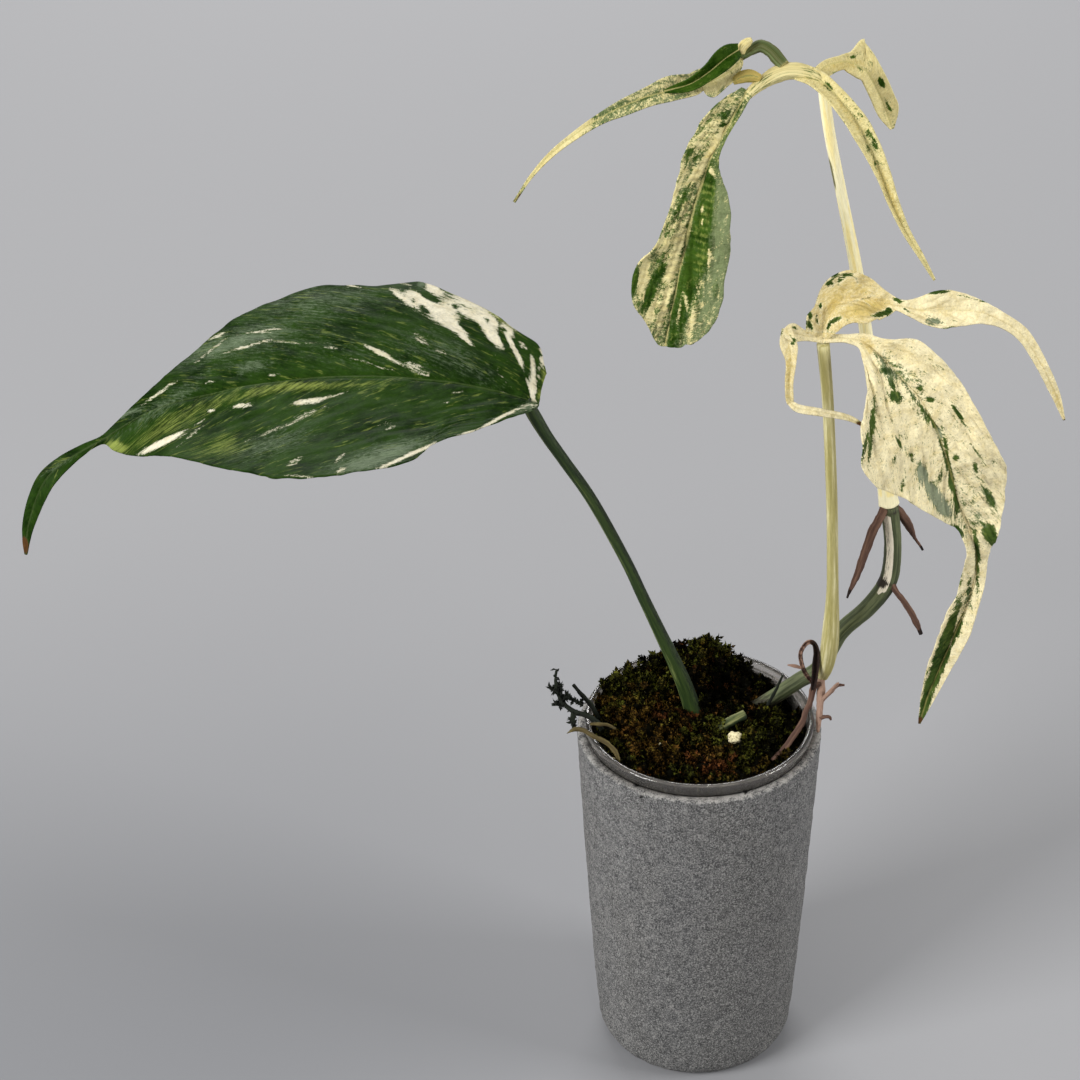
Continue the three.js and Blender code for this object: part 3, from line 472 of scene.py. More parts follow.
def variegation_group():
    """Leaf colours from the painted weights: noise that runs along the veins breaks their edges up"""
    paints = ("Marks", "Deep", "Fresh", "Lime", "Grey", "Cream", "Tan", "Rib")
    levels = ("Dryness", "Rib Share", "Solid", "Low", "High", "Crinkle")
    group, graph, given, made = new_group(
        "variegation",
        {"Fibre": "vector", **dict.fromkeys(paints, "colour"), **dict.fromkeys(levels, "value")},
        {"Color": "colour", "Cream Share": "value", "Height": "value"},
    )
    parts = graph.add("SeparateXYZ", {0: given["Fibre"]}).outputs
    side = graph.times(graph.maths("SIGN", parts[2]), 3.7)
    fibre = graph.add("CombineXYZ", {0: parts[0], 1: parts[1], 2: side}).outputs[0]
    weights = graph.add("SeparateColor", {0: given["Marks"]}).outputs

    def along_veins(shift, stretch, *look):
        place = graph.moved(fibre, *shift, 0)
        return graph.noise(graph.stretched(place, 1, stretch, 1), *look)

    streaks = along_veins((0, 0), 0.12, 125, 6, 0.8, 0.5)
    blots = along_veins((3, 5), 0.4, 58, 5, 0.7, 0.8)
    drift = along_veins((7, 1), 1, 9, 3, 0.5)
    threads = along_veins((2, 2), 0.09, 150, 6, 0.8, 0.3)
    haze = along_veins((1, 9), 0.35, 130, 6, 0.85)
    cells = along_veins((0, 0), 0.7, 150, 5, 0.85)
    crinkle = along_veins((4, 4), 0.55, 34, 4, 0.6, 0.6)
    flecks = along_veins((6, 3), 0.13, 95, 3, 0.7)

    # Greens: deep, with fresher streaks and blots, lime flecks, and haze where it is painted
    pale = graph.maths("MAXIMUM", graph.times(graph.above(drift, 0.5, 0.18), 0.6),
                       graph.above(weights[0], 0.42, 0.2))
    green = graph.mix(pale, given["Deep"], given["Fresh"])
    green = graph.over(green, given["Fresh"], threads, 0.54, 0.1, 0.3)
    green = graph.over(green, given["Fresh"], blots, 0.52, 0.1, 0.4)
    green = graph.over(green, given["Lime"], flecks, 0.635, 0.045, 0.42)
    for weight, first, second, contrast, tint in ((weights[2], threads, streaks, 3.8, "Lime"),
                                                  (weights[1], haze, threads, 3.6, "Grey")):
        hazy = graph.broken(weight, graph.blend(first, second, 0.6), contrast, 0.4)
        green = graph.mix(graph.times(hazy, graph.above(weight, 0.06, 0.04)), green, given[tint])

    # Creams: tan where the lime weight is high, and in faint clouds
    tawny = graph.broken(weights[2], haze, 1.6, 0.35)
    cloudy = graph.times(graph.above(graph.noise(fibre, 30, 4, 0.6), 0.55, 0.14), 0.4)
    ivory = graph.mix(graph.maths("MAXIMUM", tawny, cloudy), given["Cream"], given["Tan"])

    # How much cream shows: broken up by the noises, and sheer where little is painted
    firm = graph.plus(graph.swing(weights[0], 1.5), 0.5)
    grain = graph.blend(graph.blend(streaks, blots, 0.66), cells, 0.66)
    share = graph.ramp(graph.plus(firm, graph.swing(grain, 6.0)), given["Low"], given["High"])
    sheer = graph.times(graph.below(weights[0], 0.7, 0.25), given["Solid"])
    share = graph.times(share, graph.minus(1.0, sheer))
    colours = graph.mix(share, green, ivory)

    # The rib, the fine grain of light and dark with a painted shade of the crinkles over it, and the brown of
    # dry places
    rib = graph.below(graph.maths("ABSOLUTE", parts[2]), 0.003, 0.0022)
    rib = graph.times(rib, graph.above(streaks, 0.42, 0.12))
    colours = graph.mix(graph.times(rib, given["Rib Share"]), colours, given["Rib"])
    # The grain of the cells, with painted shade and light from the crinkles: darker in their hollows and
    # lighter on their ridges
    light = graph.plus(graph.times(cells, 1.2), graph.times(crinkle, 0.6))
    colours = graph.mix(1.0, colours, graph.plus(light, 0.06), "MULTIPLY")
    husk = graph.mix(graph.noise(fibre, 90, 3), colour("6b4a28"), colour("2a1a12"))
    colours = graph.mix(graph.broken(given["Dryness"], blots, 1.0, 0.2), colours, husk)
    graph.feed(made["Color"], colours)
    graph.feed(made["Cream Share"], share)
    fine = graph.plus(graph.times(cells, 0.3), threads)
    graph.feed(made["Height"], graph.plus(fine, graph.times(crinkle, given["Crinkle"])))
    return group


VARIEGATION = variegation_group()
LEAF_COLOURS = {
    "Deep": colour("091e01"), "Fresh": colour("2c4712"), "Lime": colour("828e44"), "Grey": colour("6a785e"),
    "Cream": colour("e6dfc6"), "Tan": colour("c7b888"), "Rib": colour("5a6a40"),
    "Rib Share": 0.35, "Solid": 0.35, "Low": 0.42, "High": 0.7, "Crinkle": 2.0,
}


def leaf_skin(name, roughness, relief, fineness=(1, 1), **changes):
    """The finish of a blade; the changes are the inputs in which it differs from LEAF_COLOURS"""
    material, graph, shader = new_material(name)
    marks = graph.add("Attribute", attribute_name="marks").outputs
    fibre = graph.stretched(graph.attribute("fibre"), *fineness, 1)
    inputs = {**LEAF_COLOURS, **changes, "Fibre": fibre, "Marks": marks["Color"], "Dryness": marks["Alpha"]}
    look = use_group(graph, VARIEGATION, inputs)
    graph.feed(shader.inputs["Base Color"], look["Color"])
    graph.feed(shader.inputs["Roughness"], graph.plus(roughness, graph.times(look["Cream Share"], 0.12)))
    shader.inputs["Specular IOR Level"].default_value = 0.04
    bumped(graph, shader, look["Height"], 0.6, relief)
    return material


def stem_skin(name, colours, roughness, stripes, relief=0.15):
    """Stems: a ground and a stripe colour that alternate round the stem and run along it"""
    material, graph, shader = new_material(name)
    weights = graph.weights()
    fibre = graph.attribute("fibre")
    lines = graph.noise(graph.stretched(fibre, 1, 1, 0.05), stripes, 4, 0.65)
    fine = graph.noise(graph.stretched(fibre, 1, 1, 0.12), stripes * 4, 3, 0.7)
    ground, stripe, cream, dark = (colour(code) for code in colours)
    shade = graph.over(ground, stripe, lines, 0.5, 0.12)
    shade = graph.mix(graph.broken(weights[0], lines, 1.6, 0.15), shade, cream)
    shade = graph.mix(graph.broken(weights[1], fine, 1.4, 0.2), shade, dark)
    shade = graph.over(shade, dark, fine, 0.55, 0.2, 0.22)
    graph.feed(shader.inputs["Base Color"], shade)
    graph.feed(shader.inputs["Roughness"], graph.plus(roughness, graph.times(fine, 0.2)))
    shader.inputs["Specular IOR Level"].default_value = 0.35
    bumped(graph, shader, graph.plus(lines, fine), 0.5, relief)
    return material


def stone_finish():
    """The pot: mottled grey with pale grit and dark pits, worn pale on the rim, with dark chips"""
    material, graph, shader = new_material("gritty stone")
    place = graph.place()
    grit = graph.noise(place, 1650, 3, 0.85)
    coarse = graph.noise(place, 330, 4, 0.75)
    stain = graph.noise(graph.stretched(place, 1, 1, 0.35), 30, 4, 0.65)
    height = graph.add("SeparateXYZ", {0: place}).outputs[2]
    shade = graph.over(colour("565657"), colour("7f7e7d"), coarse, 0.5, 0.16)
    shade = graph.over(shade, colour("5c5a56"), stain, 0.52, 0.18, 0.4)
    # Painted shade: darker towards the foot
    shade = graph.mix(graph.times(graph.below(height, 0.03, 0.05), 0.3), shade, colour("4a4a47"))
    shade = graph.over(shade, colour("b2b1ad"), grit, 0.57, 0.06, 0.7)
    shade = graph.mix(graph.times(graph.below(grit, 0.43, 0.06), 0.85), shade, colour("2a2a2a"))
    worn = graph.weights()
    rub = graph.times(graph.minus(graph.plus(coarse, grit), 1.0), 1.6)
    shade = graph.over(shade, colour("a8a5a0"), graph.plus(worn[0], rub), 0.5, 0.3)
    shade = graph.over(shade, colour("151413"), graph.plus(worn[1], rub), 0.5, 0.1)
    graph.feed(shader.inputs["Base Color"], shade)
    shader.inputs["Roughness"].default_value = 0.92
    shader.inputs["Specular IOR Level"].default_value = 0.2
    bumped(graph, shader, graph.plus(coarse, graph.times(grit, 0.6)), 1.0, 0.7)
    return material


def clear_plastic():
    material, graph, shader = new_material("clear plastic")
    graph.feed(shader.inputs["Base Color"], colour("d2cdc7"))
    scuffs = graph.noise(graph.stretched(graph.place(), 1, 1, 6), 90, 4, 0.6)
    graph.feed(shader.inputs["Roughness"], graph.times(scuffs, 0.2))
    shader.inputs["Transmission Weight"].default_value = 0.94
    shader.inputs["IOR"].default_value = 1.42
    return material


# The dark and the light of brown, olive and rusty moss; the light is partly a painted highlight
MOSS_COLOURS = (("150e05", "866429"), ("131408", "787a2c"), ("22110a", "8a562c"))


def moss_finish():
    """Moss and its shoots: red is how brown a place is, green how olive and blue how rusty"""
    material, graph, shader = new_material("damp moss")
    weights = graph.weights()
    fine = graph.noise(graph.place(), 620, 4, 0.8)
    shade = graph.mix(fine, colour("020201"), colour("0d0c04"))
    for weight, (dark, light) in zip(weights, MOSS_COLOURS):
        # Each colour turns light where the noise is high: partly a painted highlight on the shoots
        tint = graph.over(colour(dark), colour(light), fine, 0.57, 0.13)
        shade = graph.mix(graph.broken(weight, fine, 1.4, 0.3), shade, tint)
    graph.feed(shader.inputs["Base Color"], shade)
    shader.inputs["Roughness"].default_value = 0.7
    shader.inputs["Specular IOR Level"].default_value = 0.02
    bumped(graph, shader, fine, 0.6, 0.3)
    return material


def crumbly_white():
    material, graph, shader = new_material("perlite")
    pores = graph.noise(graph.place(), 1300, 4, 0.7)
    graph.feed(shader.inputs["Base Color"], graph.over(colour("8f835c"), colour("ece0b4"), pores, 0.45, 0.15))
    shader.inputs["Roughness"].default_value = 0.9
    bumped(graph, shader, pores, 0.8, 0.3)
    return material


def plain_floor():
    """The pale floor, with a painted shade that makes it a little darker to the left and near"""
    material, graph, shader = new_material("pale floor")
    x, y, _ = graph.add("SeparateXYZ", {0: graph.place()}).outputs
    shaded = graph.times(graph.below(x, -0.03, 0.17), graph.below(y, 0.15, 0.26))
    graph.feed(shader.inputs["Base Color"], graph.mix(shaded, colour("9c9c9e"), colour("808184")))
    shader.inputs["Roughness"].default_value = 0.85
    shader.inputs["Specular IOR Level"].default_value = 0.15
    return material


# Pots

POT_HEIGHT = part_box("cover_pot")[1].z / MM
RIM_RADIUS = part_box("cover_pot")[1].x / MM
LIP_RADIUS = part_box("liner_pot")[1].x / MM
LIP_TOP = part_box("liner_pot")[1].z / MM
LINER_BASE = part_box("liner_pot")[0].z / MM
FOOT_RADIUS = 36.7
FOOT_FLAT = 30
FOOT_ROUND = 9
RIM_ROUND = 1.2
POT_BELLY = 0.75
POT_WALL = 4
POT_FLOOR = 6
POT_RING = 1.2
LINER_PLAY = 0.7
LINER_WALL = 0.9
LIP_ROUND = 1.1
LIP_GAP = 0.3
SOIL_LEVEL = 143.8
SOIL_PLAY = 0.35

# Dark chips in the front of the rim, as pixels of the photograph and their size
RIM_CHIPS = [(637, 785, 2.6), (746, 791, 2.2), (752, 788, 2.0), (642, 797, 1.6), (806, 757, 2.0)]


def pot_radius(height):
    return FOOT_RADIUS + (RIM_RADIUS - FOOT_RADIUS) * (height / POT_HEIGHT) ** POT_BELLY


def liner_radius(height):
    return pot_radius(height) - POT_WALL - LINER_PLAY


def soil_radius(height):
    return liner_radius(height) - LINER_WALL - SOIL_PLAY


def arc(radius, height, across, up, start, end, steps):
    """Points of an ellipse arc in a profile, in degrees from the outward direction"""
    angles = np.radians(np.linspace(start, end, steps + 1))
    return [(radius + across * np.cos(a), height + up * np.sin(a)) for a in angles]


def turned(name, profile, segments):
    """A closed body of revolution, drawn up from a disc ring by ring"""
    (radius, height), *rest = profile
    bpy.ops.mesh.primitive_circle_add(vertices=segments, radius=radius * MM, fill_type="NGON",
                                      location=(0, 0, height * MM))
    made = bpy.context.active_object
    made.name = name
    bpy.ops.object.mode_set(mode="EDIT")
    bpy.ops.mesh.select_all(action="SELECT")
    for next_radius, next_height in rest:
        bpy.ops.mesh.extrude_region_move(
            TRANSFORM_OT_translate={"value": (0, 0, (next_height - height) * MM)})
        ratio = next_radius / radius
        bpy.ops.transform.resize(value=(ratio, ratio, 1), center_override=(0, 0, next_height * MM))
        radius, height = next_radius, next_height
    bpy.ops.mesh.select_all(action="SELECT")
    bpy.ops.mesh.normals_make_consistent(inside=False)
    bpy.ops.object.mode_set(mode="OBJECT")
    bpy.ops.object.transform_apply(location=True, rotation=True, scale=True)
    made.select_set(False)
    return made


def mesh_points(piece):
    flat = np.empty(len(piece.data.vertices) * 3)
    piece.data.vertices.foreach_get("co", flat)
    return flat.reshape(-1, 3) / MM


def set_points(piece, points):
    piece.data.vertices.foreach_set("co", (points * MM).ravel())
    piece.data.update()


def cover_pot(stone):
    """The stone-finish pot: gritty outside, its rim worn pale and chipped"""
    outside = [(pot_radius(h), h) for h in np.arange(FOOT_ROUND + POT_RING, POT_HEIGHT - RIM_ROUND, POT_RING)]
    inside = [(pot_radius(h) - POT_WALL, h) for h in np.arange(POT_HEIGHT - 2, POT_FLOOR + 3, -8)]
    made = turned("stone_cover_pot", [
        (FOOT_FLAT - 8, 0), (FOOT_FLAT - 1, 0),
        *arc(FOOT_FLAT, FOOT_ROUND, pot_radius(FOOT_ROUND) - FOOT_FLAT, FOOT_ROUND, -90, 0, 10),
        *outside,
        *arc(RIM_RADIUS - RIM_ROUND, POT_HEIGHT - RIM_ROUND, RIM_ROUND, RIM_ROUND, 0, 90, 4),
        (RIM_RADIUS - POT_WALL + 0.6, POT_HEIGHT),
        *inside, (pot_radius(POT_FLOOR) - POT_WALL - 4, POT_FLOOR), (4, POT_FLOOR),
    ], 256)
    points = mesh_points(made)
    radius = np.hypot(points[:, 0], points[:, 1])
    height = points[:, 2]
    rough = (radius > pot_radius(np.clip(height, 0, POT_HEIGHT)) - 3) & (height > 1)
    low, high = points * (1, 1, 0.6), points
    relief = np.zeros(len(points))
    relief[rough] = 0.26 * lumps(low[rough], 4.2, 4.0) + 0.12 * lumps(high[rough], 1.2, 9.0) - 0.24
    out = np.stack([points[:, 0] / radius, points[:, 1] / radius, 0 * radius], -1)
    points = points + out * relief[:, None]
    marks = np.zeros((len(points), 4))
    marks[:, 0] = 0.52 * np.exp(-((height - POT_HEIGHT) / 0.8) ** 2) + 0.22 * lumps(points, 4, 3.0)
    seen_x, seen_y = in_photo(points).T
    for x, y, size in RIM_CHIPS:
        marks[:, 1] += 1.2 * mound(seen_x, seen_y, x, y, size) * (points[:, 1] < 0)
    set_marks(made.data, marks)
    set_points(made, points)
    dress(made, ["cover_pot"], "cover_pot", stone)


def nursery_pot(clear):
    """The clear pot, which hangs on the rim by its rolled lip"""
    under = POT_HEIGHT + LIP_GAP
    heights = np.arange(LINER_BASE + 3, under, 6)
    made = turned("clear_nursery_pot", [
        (8, LINER_BASE), (liner_radius(LINER_BASE) - 3, LINER_BASE),
        *[(liner_radius(h), h) for h in heights], (liner_radius(under), under),
        (LIP_RADIUS - 0.6, under), (LIP_RADIUS - 0.1, under + 0.5),
        *arc(LIP_RADIUS - LIP_ROUND, LIP_TOP - LIP_ROUND, LIP_ROUND, LIP_ROUND, 0, 180, 12),
        (liner_radius(under) - LINER_WALL, under),
        *[(liner_radius(h) - LINER_WALL, h) for h in heights[::-1]],
        (liner_radius(LINER_BASE) - 4, LINER_BASE + LINER_WALL), (8, LINER_BASE + LINER_WALL),
    ], 160)
    dress(made, ["liner_pot"], "clear_liner", clear)


# Moss: its heaps and hollows as [x, y, rise, spread], and its colours as strokes in the photograph
MOSS_HEAPS = [(4, 30, 8, 9), (-20, 27, 3.5, 12), (-22, 4, 3, 14), (16, -14, 1.5, 8), (31, 14, -6, 9)]
BROWN = (1, 0, 0, 0)
OLIVE = (0, 1, 0, 0)
RUST = (0.3, 0, 1, 0)
DARK = (0, 0, 0, 0)
MOSS_GROUND = (0.12, 0.22, 0, 0)
MOSS_STROKES = [
    (OLIVE, 633, 692, 42, 22, -8, 0.5), (BROWN, 620, 712, 30, 16, 20, 0.35),
    (BROWN, 654, 728, 36, 26, 60, 0.62), (BROWN, 630, 745, 30, 8, 30, 0.5),
    (OLIVE, 608, 736, 26, 6, 42, 0.55), (OLIVE, 728, 738, 34, 20, 0, 0.42), (OLIVE, 743, 757, 7, 13, 0, 0.85),
    (OLIVE, 777, 728, 9, 8, 0, 0.6), (BROWN, 700, 758, 34, 10, 5, 0.5), (RUST, 707, 771, 24, 7, 0, 0.85),
    (RUST, 689, 727, 7, 11, 0, 0.8), (RUST, 668, 720, 12, 8, 30, 0.45), (DARK, 712, 690, 34, 22, 20, 0.9),
    (DARK, 757, 700, 20, 20, 0, 0.6), (OLIVE, 714, 655, 40, 10, 8, 0.34), (DARK, 795, 715, 12, 26, 0, 0.6),
    (BROWN, 595, 724, 14, 7, 30, 0.6),
]

# Clumps that rise against the back and the left of the pot: [x, y, rise, spread along x, spread along y]
MOSS_CLUMPS = [(-3, 35, 3, 8, 4), (12, 34, 2.5, 12, 4), (-33, 20, 4, 5, 5), (-16, 33, 2, 9, 3)]

# Where something lies on the moss, so that it is low and bare: [x, y, how far]
CLEARINGS = [(12.3, -11.6, 4.4), (12.3, -16, 3), (7, -4.2, 3), (11.5, -2, 3.4), (16.5, 0.6, 3),
             (9.5, -6.5, 2.4)]

# Shoots: how many stand all over the moss and at each foot, and how hollow a place may be that has them
SHOOTS = 3400
FOOT_SHOOTS = 40
HOLLOW = -0.16

# Where taller shoots stand: [x, y, spread along x and along y, how many, shortest, longest]
TALL_SHOOTS = [
    (6, 31, 10, 3, 130, 4, 8), (-4, 33, 3, 2, 26, 6, 10), (3, 33, 2, 2, 16, 6, 9), (-34, 19, 3, 4, 70, 3, 6),
    (-24, 28, 8, 3, 60, 3, 5.5), (-36, -3, 2, 6, 40, 2.5, 4.5),
]

# The feet of stems and of what lies on the moss, which shoots hide: [x, y, spread]
MOSSY_FEET = [(-1, 8, 4), (9, -3, 3.5), (14, 0, 3), (22, 11, 4), (17, 10, 3), (-27, -15, 3)]

SOIL_RADIUS = soil_radius(POT_HEIGHT)


def moss_height(x, y):
    """The smooth top of the moss: its heaps and swells, lower towards the wall of the pot"""
    heaps = sum(rise * mound(x, y, cx, cy, spread) for cx, cy, rise, spread in MOSS_HEAPS)
    swell = (0.7 * np.sin(0.55 * x + 0.4 * y) * np.cos(0.5 * y - 0.3 * x)
             + 0.45 * np.sin(1.1 * x - 0.7 * y + 1))
    return SOIL_LEVEL + heaps + swell - np.maximum(0, np.hypot(x, y) - 30) * 0.12


def cleared(x, y):
    """1 where something lies on the moss, and 0 away from it"""
    parts = [np.exp(-(((x - cx) ** 2 + (y - cy) ** 2) / reach**2) ** 2) for cx, cy, reach in CLEARINGS]
    return np.clip(sum(parts), 0, 1)


def on_level(x, y):
    """Points at height 0"""
    return np.stack([x, y, 0 * x], -1)


def moss_top(x, y):
    """The top of the bed: its smooth heaps with clumps, lumps and hollows"""
    rough = 2.5 * lumps(on_level(x, y), 7.0, 2.0) + 1.3 * lumps(on_level(x, y), 2.8, 6.0)
    clumps = sum(rise * np.exp(-((x - cx) / wide) ** 2 - ((y - cy) / deep) ** 2)
                 for cx, cy, rise, wide, deep in MOSS_CLUMPS)
    away = np.hypot(x, y)
    rough = rough * np.clip((SOIL_RADIUS - away) / 2, 0, 1) * (1 - cleared(x, y))
    return moss_height(x, y) + clumps + rough


# A closed leaflet with a ridge: its corners are its root, one side, its tip and the other side
LEAFLET = [[0, 2, 1], [0, 3, 2], [0, 1, 3], [2, 3, 1]]


def shoot_template(tiers=5):
    """One moss shoot along +Z, a unit long: a thin stem with tiers of three small pointed leaves"""
    points = [(0.03 * np.cos(a), 0.03 * np.sin(a), 0) for a in (0, 2.1, 4.2)] + [(0, 0, 1)]
    faces = [[0, 1, 3], [1, 2, 3], [2, 0, 3], [0, 2, 1]]
    for tier in range(tiers):
        size = 0.47 * (1 - 0.55 * tier / tiers)
        root = np.array([0, 0, 0.12 + 0.8 * tier / tiers])
        for side in range(3):
            turn = 2.1 * side + 0.9 * tier
            out = np.array([np.cos(turn), np.sin(turn), 0.75]) * size
            across = np.array([-np.sin(turn), np.cos(turn), 0]) * 0.5 * size
            middle = root + out * 0.5 - (0, 0, 0.1 * size)
            faces += [[len(points) + corner for corner in face] for face in LEAFLET]
            points += [root, middle + across, root + out, middle - across]
    return np.array(points, float), faces


def planted(template, roots, directions, lengths, spins, marks, widths=1.0):
    """Copies of a template stood on their roots, as one set of points and faces"""
    points, faces = template
    upright = unit(np.asarray(directions, float))
    helper = np.where(np.abs(upright[:, 2:3]) < 0.9, [[0, 0, 1.0]], [[1.0, 0, 0]])
    side = unit(np.cross(upright, helper))
    other = np.cross(upright, side)
    c, s = np.cos(spins)[:, None], np.sin(spins)[:, None]
    first, second = side * c + other * s, other * c - side * s
    bend = points[:, 2] ** 2 * 0.25
    local = (first[:, None] * (points[:, 0] + bend)[None, :, None] * widths
             + second[:, None] * points[None, :, 1:2] * widths + upright[:, None] * points[None, :, 2:3])
    placed = np.asarray(roots)[:, None] + local * np.asarray(lengths)[:, None, None]
    corners = [[k * len(points) + corner for corner in face] for k in range(len(roots)) for face in faces]
    weights = np.repeat(np.asarray(marks), len(points), axis=0)
    return {"points": placed, "faces": corners, "fibre": placed.reshape(-1, 3), "marks": weights}


def moss_bed(moss):
    """The plug of substrate with its heaped top, and the moss shoots that cover it"""
    draw = np.random.default_rng(7)
    rings = np.linspace(0.02, 1, 54) * SOIL_RADIUS
    turn = 2 * np.pi * np.arange(150) / 150
    x, y = rings[:, None] * np.cos(turn), rings[:, None] * np.sin(turn)
    top = np.stack([x, y, moss_top(x, y)], -1)
    walls = np.array([132, 104, 68, 34, LINER_BASE + 5, LINER_BASE + 1.5])
    radii = soil_radius(walls)
    side = np.stack([radii[:, None] * np.cos(turn), radii[:, None] * np.sin(turn),
                     np.broadcast_to(walls[:, None], (len(walls), len(turn)))], -1)
    grid = np.concatenate([top, side])
    faces = [face[::-1] for face in grid_faces(len(grid), len(turn), closed=True)]
    faces.append(list(range(len(turn))))
    faces.append(list(range((len(grid) - 1) * len(turn), len(grid) * len(turn)))[::-1])
    flat = grid.reshape(-1, 3)
    # The bed takes under a third of the moss's weights, so it is darker than its shoots: a painted shade in
    # the hollows between them
    bed = {"points": flat, "faces": faces, "fibre": flat, "marks": moss_marks(flat, draw, 0.1) * 0.3}
    dress(merged("moss_bed", [bed]), ["moss_substrate"], "moss", moss)
    dress(merged("moss_shoots", [shoots(draw)]), [], "moss", moss, smooth=False)


def shoots(draw):
    """Short shoots all over the moss, taller ones on its heaps, and some at the feet of stems"""
    away = SOIL_RADIUS * np.sqrt(draw.uniform(0, 1, SHOOTS)) * 0.99
    bearing = draw.uniform(0, 2 * np.pi, SHOOTS)
    x, y = away * np.cos(bearing), away * np.sin(bearing)
    combed = 2.6 * np.pi * lumps(on_level(x, y), 9.0, 8.0, 2)
    lean = np.stack([np.cos(combed), np.sin(combed), draw.uniform(0.05, 0.9, SHOOTS)], -1)
    lean += draw.normal(0, 0.4, (SHOOTS, 3))
    lengths = draw.uniform(2.4, 4.6, SHOOTS) + 3.6 * draw.uniform(0, 1, SHOOTS) ** 3
    for centre_x, centre_y, spread_x, spread_y, number, shortest, longest in TALL_SHOOTS:
        x = np.concatenate([x, draw.normal(centre_x, spread_x, number)])
        y = np.concatenate([y, draw.normal(centre_y, spread_y, number)])
        upright = np.stack([draw.normal(0, 0.5, number), draw.normal(0, 0.35, number), np.ones(number)], -1)
        lean = np.concatenate([lean, upright])
        lengths = np.concatenate([lengths, draw.uniform(shortest, longest, number)])
    for foot_x, foot_y, spread in MOSSY_FEET:
        x = np.concatenate([x, draw.normal(foot_x, spread, FOOT_SHOOTS)])
        y = np.concatenate([y, draw.normal(foot_y, spread * 0.7, FOOT_SHOOTS)])
        lean = np.concatenate([lean, draw.normal(0, 0.6, (FOOT_SHOOTS, 3)) + (0, 0, 1)])
        lengths = np.concatenate([lengths, draw.uniform(2.6, 4.6, FOOT_SHOOTS)])
    hollow = lumps(on_level(x, y), 4.2, 3.0, 2)
    kept = (np.hypot(x, y) < SOIL_RADIUS * 0.99) & (hollow > HOLLOW) & (cleared(x, y) < 0.5)
    x, y, lean, lengths = x[kept], y[kept], lean[kept], lengths[kept]
    away = np.hypot(x, y)
    inward = np.clip((away / SOIL_RADIUS - 0.8) / 0.2, 0, 1) * (y < 8)
    lean[:, 0] -= 1.6 * inward * x / away
    lean[:, 1] -= 1.6 * inward * y / away
    lengths = lengths * (1 - 0.4 * inward)
    roots = np.stack([x, y, moss_top(x, y) - 0.8], -1)
    spins = draw.uniform(0, 2 * np.pi, len(roots))
    widths = draw.uniform(0.55, 1, len(roots))[:, None, None]
    return planted(shoot_template(), roots, lean, lengths, spins, moss_marks(roots, draw, 0.34), widths)


def moss_marks(points, draw, spread):
    """How brown, olive and rusty the moss is at each point"""
    marks = painted(points, MOSS_GROUND, MOSS_STROKES)
    marks[:, :3] += 0.28 * lumps(points * (1, 1, 0), 5.0, 5.0)[:, None] * (1, -0.8, 0.3)
    marks[:, :3] += draw.uniform(-spread, spread, (len(points), 3))
    return np.clip(marks, 0, 1)


# Stems, as the frame has them: points along the middle, and radii
VINE = {
    "points": [(-8, 9, 128), (3, 10, 131), (14.5, 12.5, 137), (26.4, 13, 144.2), (37.5, 13, 153),
               (45.2, 13, 159), (52.2, 13.5, 174.2), (62, 14, 184.8), (68.5, 14, 196.5), (69.5, 15, 211),
               (67.5, 16, 227)],
    "radii": [2.4, 2.8, 2.8, 2.8, 2.9, 3, 3, 3.1, 3.3, 3.1, 3.3],
}
GREEN_PETIOLE = {
    "points": [(0.5, 8.5, 132), (-1.2, 8, 141.6), (-5.6, 7.5, 158), (-14.8, 5.5, 183), (-20.9, 3.5, 199.7),
               (-26.8, 1.8, 215.8), (-38.4, -1.2, 242.9), (-47.9, -3.3, 260.6), (-53.7, -4.4, 271.2),
               (-58.5, -5, 281.2), (-60.6, -5.6, 286.2)],
    "radii": [3.2, 3.3, 2.9, 2.3, 2.1, 2, 2, 2, 2.1, 2.3, 1.6],
}
CREAM_PETIOLE = {
    "points": [(45.8, 10, 157.6), (46.7, 7.4, 164), (47.3, 5, 173.9), (47.4, 4.2, 182.2), (47.2, 3.2, 198),
               (46.5, 2.2, 213.6), (45, 0.3, 240), (41.7, -3, 280.7), (39, -4.3, 304.6)],
    "radii": [2.4, 2.9, 3.2, 3, 2.2, 2, 1.95, 1.95, 2.15],
}
TOP_PETIOLE = {
    "points": [(67.4, 16.1, 227.6), (66.6, 16.5, 232.5), (62.9, 18, 257.3), (57.2, 19, 290.8),
               (52.2, 18, 318.4), (45.6, 14, 348.5), (40.3, 10, 372.1), (37.6, 8, 387), (37, 7.7, 392.6)],
    "radii": [3.6, 3.3, 2.5, 2.2, 2.1, 1.8, 1.8, 1.8, 1.7],
}

# Heights of marks on the stems: the cream petiole is paler below the first, the top petiole has its sheath up
# to the second and a dark scar at the third, and the vine is dark below the last, where the moss buries it
CREAM_PALE_BELOW = 172
SHEATH_TOP = 232
SCAR_HEIGHT = 359
BURIED_BELOW = 147

# The vine's nodes as [height, half width], and the stretches that have a pale strip and a bruise
VINE_NODES = [(196.5, 1.6), (226, 1.5)]
PALE_STRIP = (193, 224)
BRUISE = (194, 222)


def facing_weight(part, direction, edge=0.35, sharpness=6.0):
    """1 on the side of a stem that looks in a direction, and 0 on the other"""
    look = part["radial"] @ unit(np.array(direction, float))
    return 1 / (1 + np.exp(-sharpness * (look - edge)))


def fading_above(height, level, reach):
    """1 below a level and 0 above it"""
    return 1 / (1 + np.exp((height - level) / reach))


def between(height, stretch):
    """1 on a stretch of heights, and 0 elsewhere"""
    return (height > stretch[0]) * (height < stretch[1])


def marked(part, red=0.0, green=0.0, blue=0.0, dry=0.0):
    """Gives a part its painted weights, as numbers or as one for each of its points"""
    marks = np.zeros(part["points"].shape[:-1] + (4,))
    for channel, value in enumerate((red, green, blue, dry)):
        marks[..., channel] = value
    part["marks"] = marks
    return part


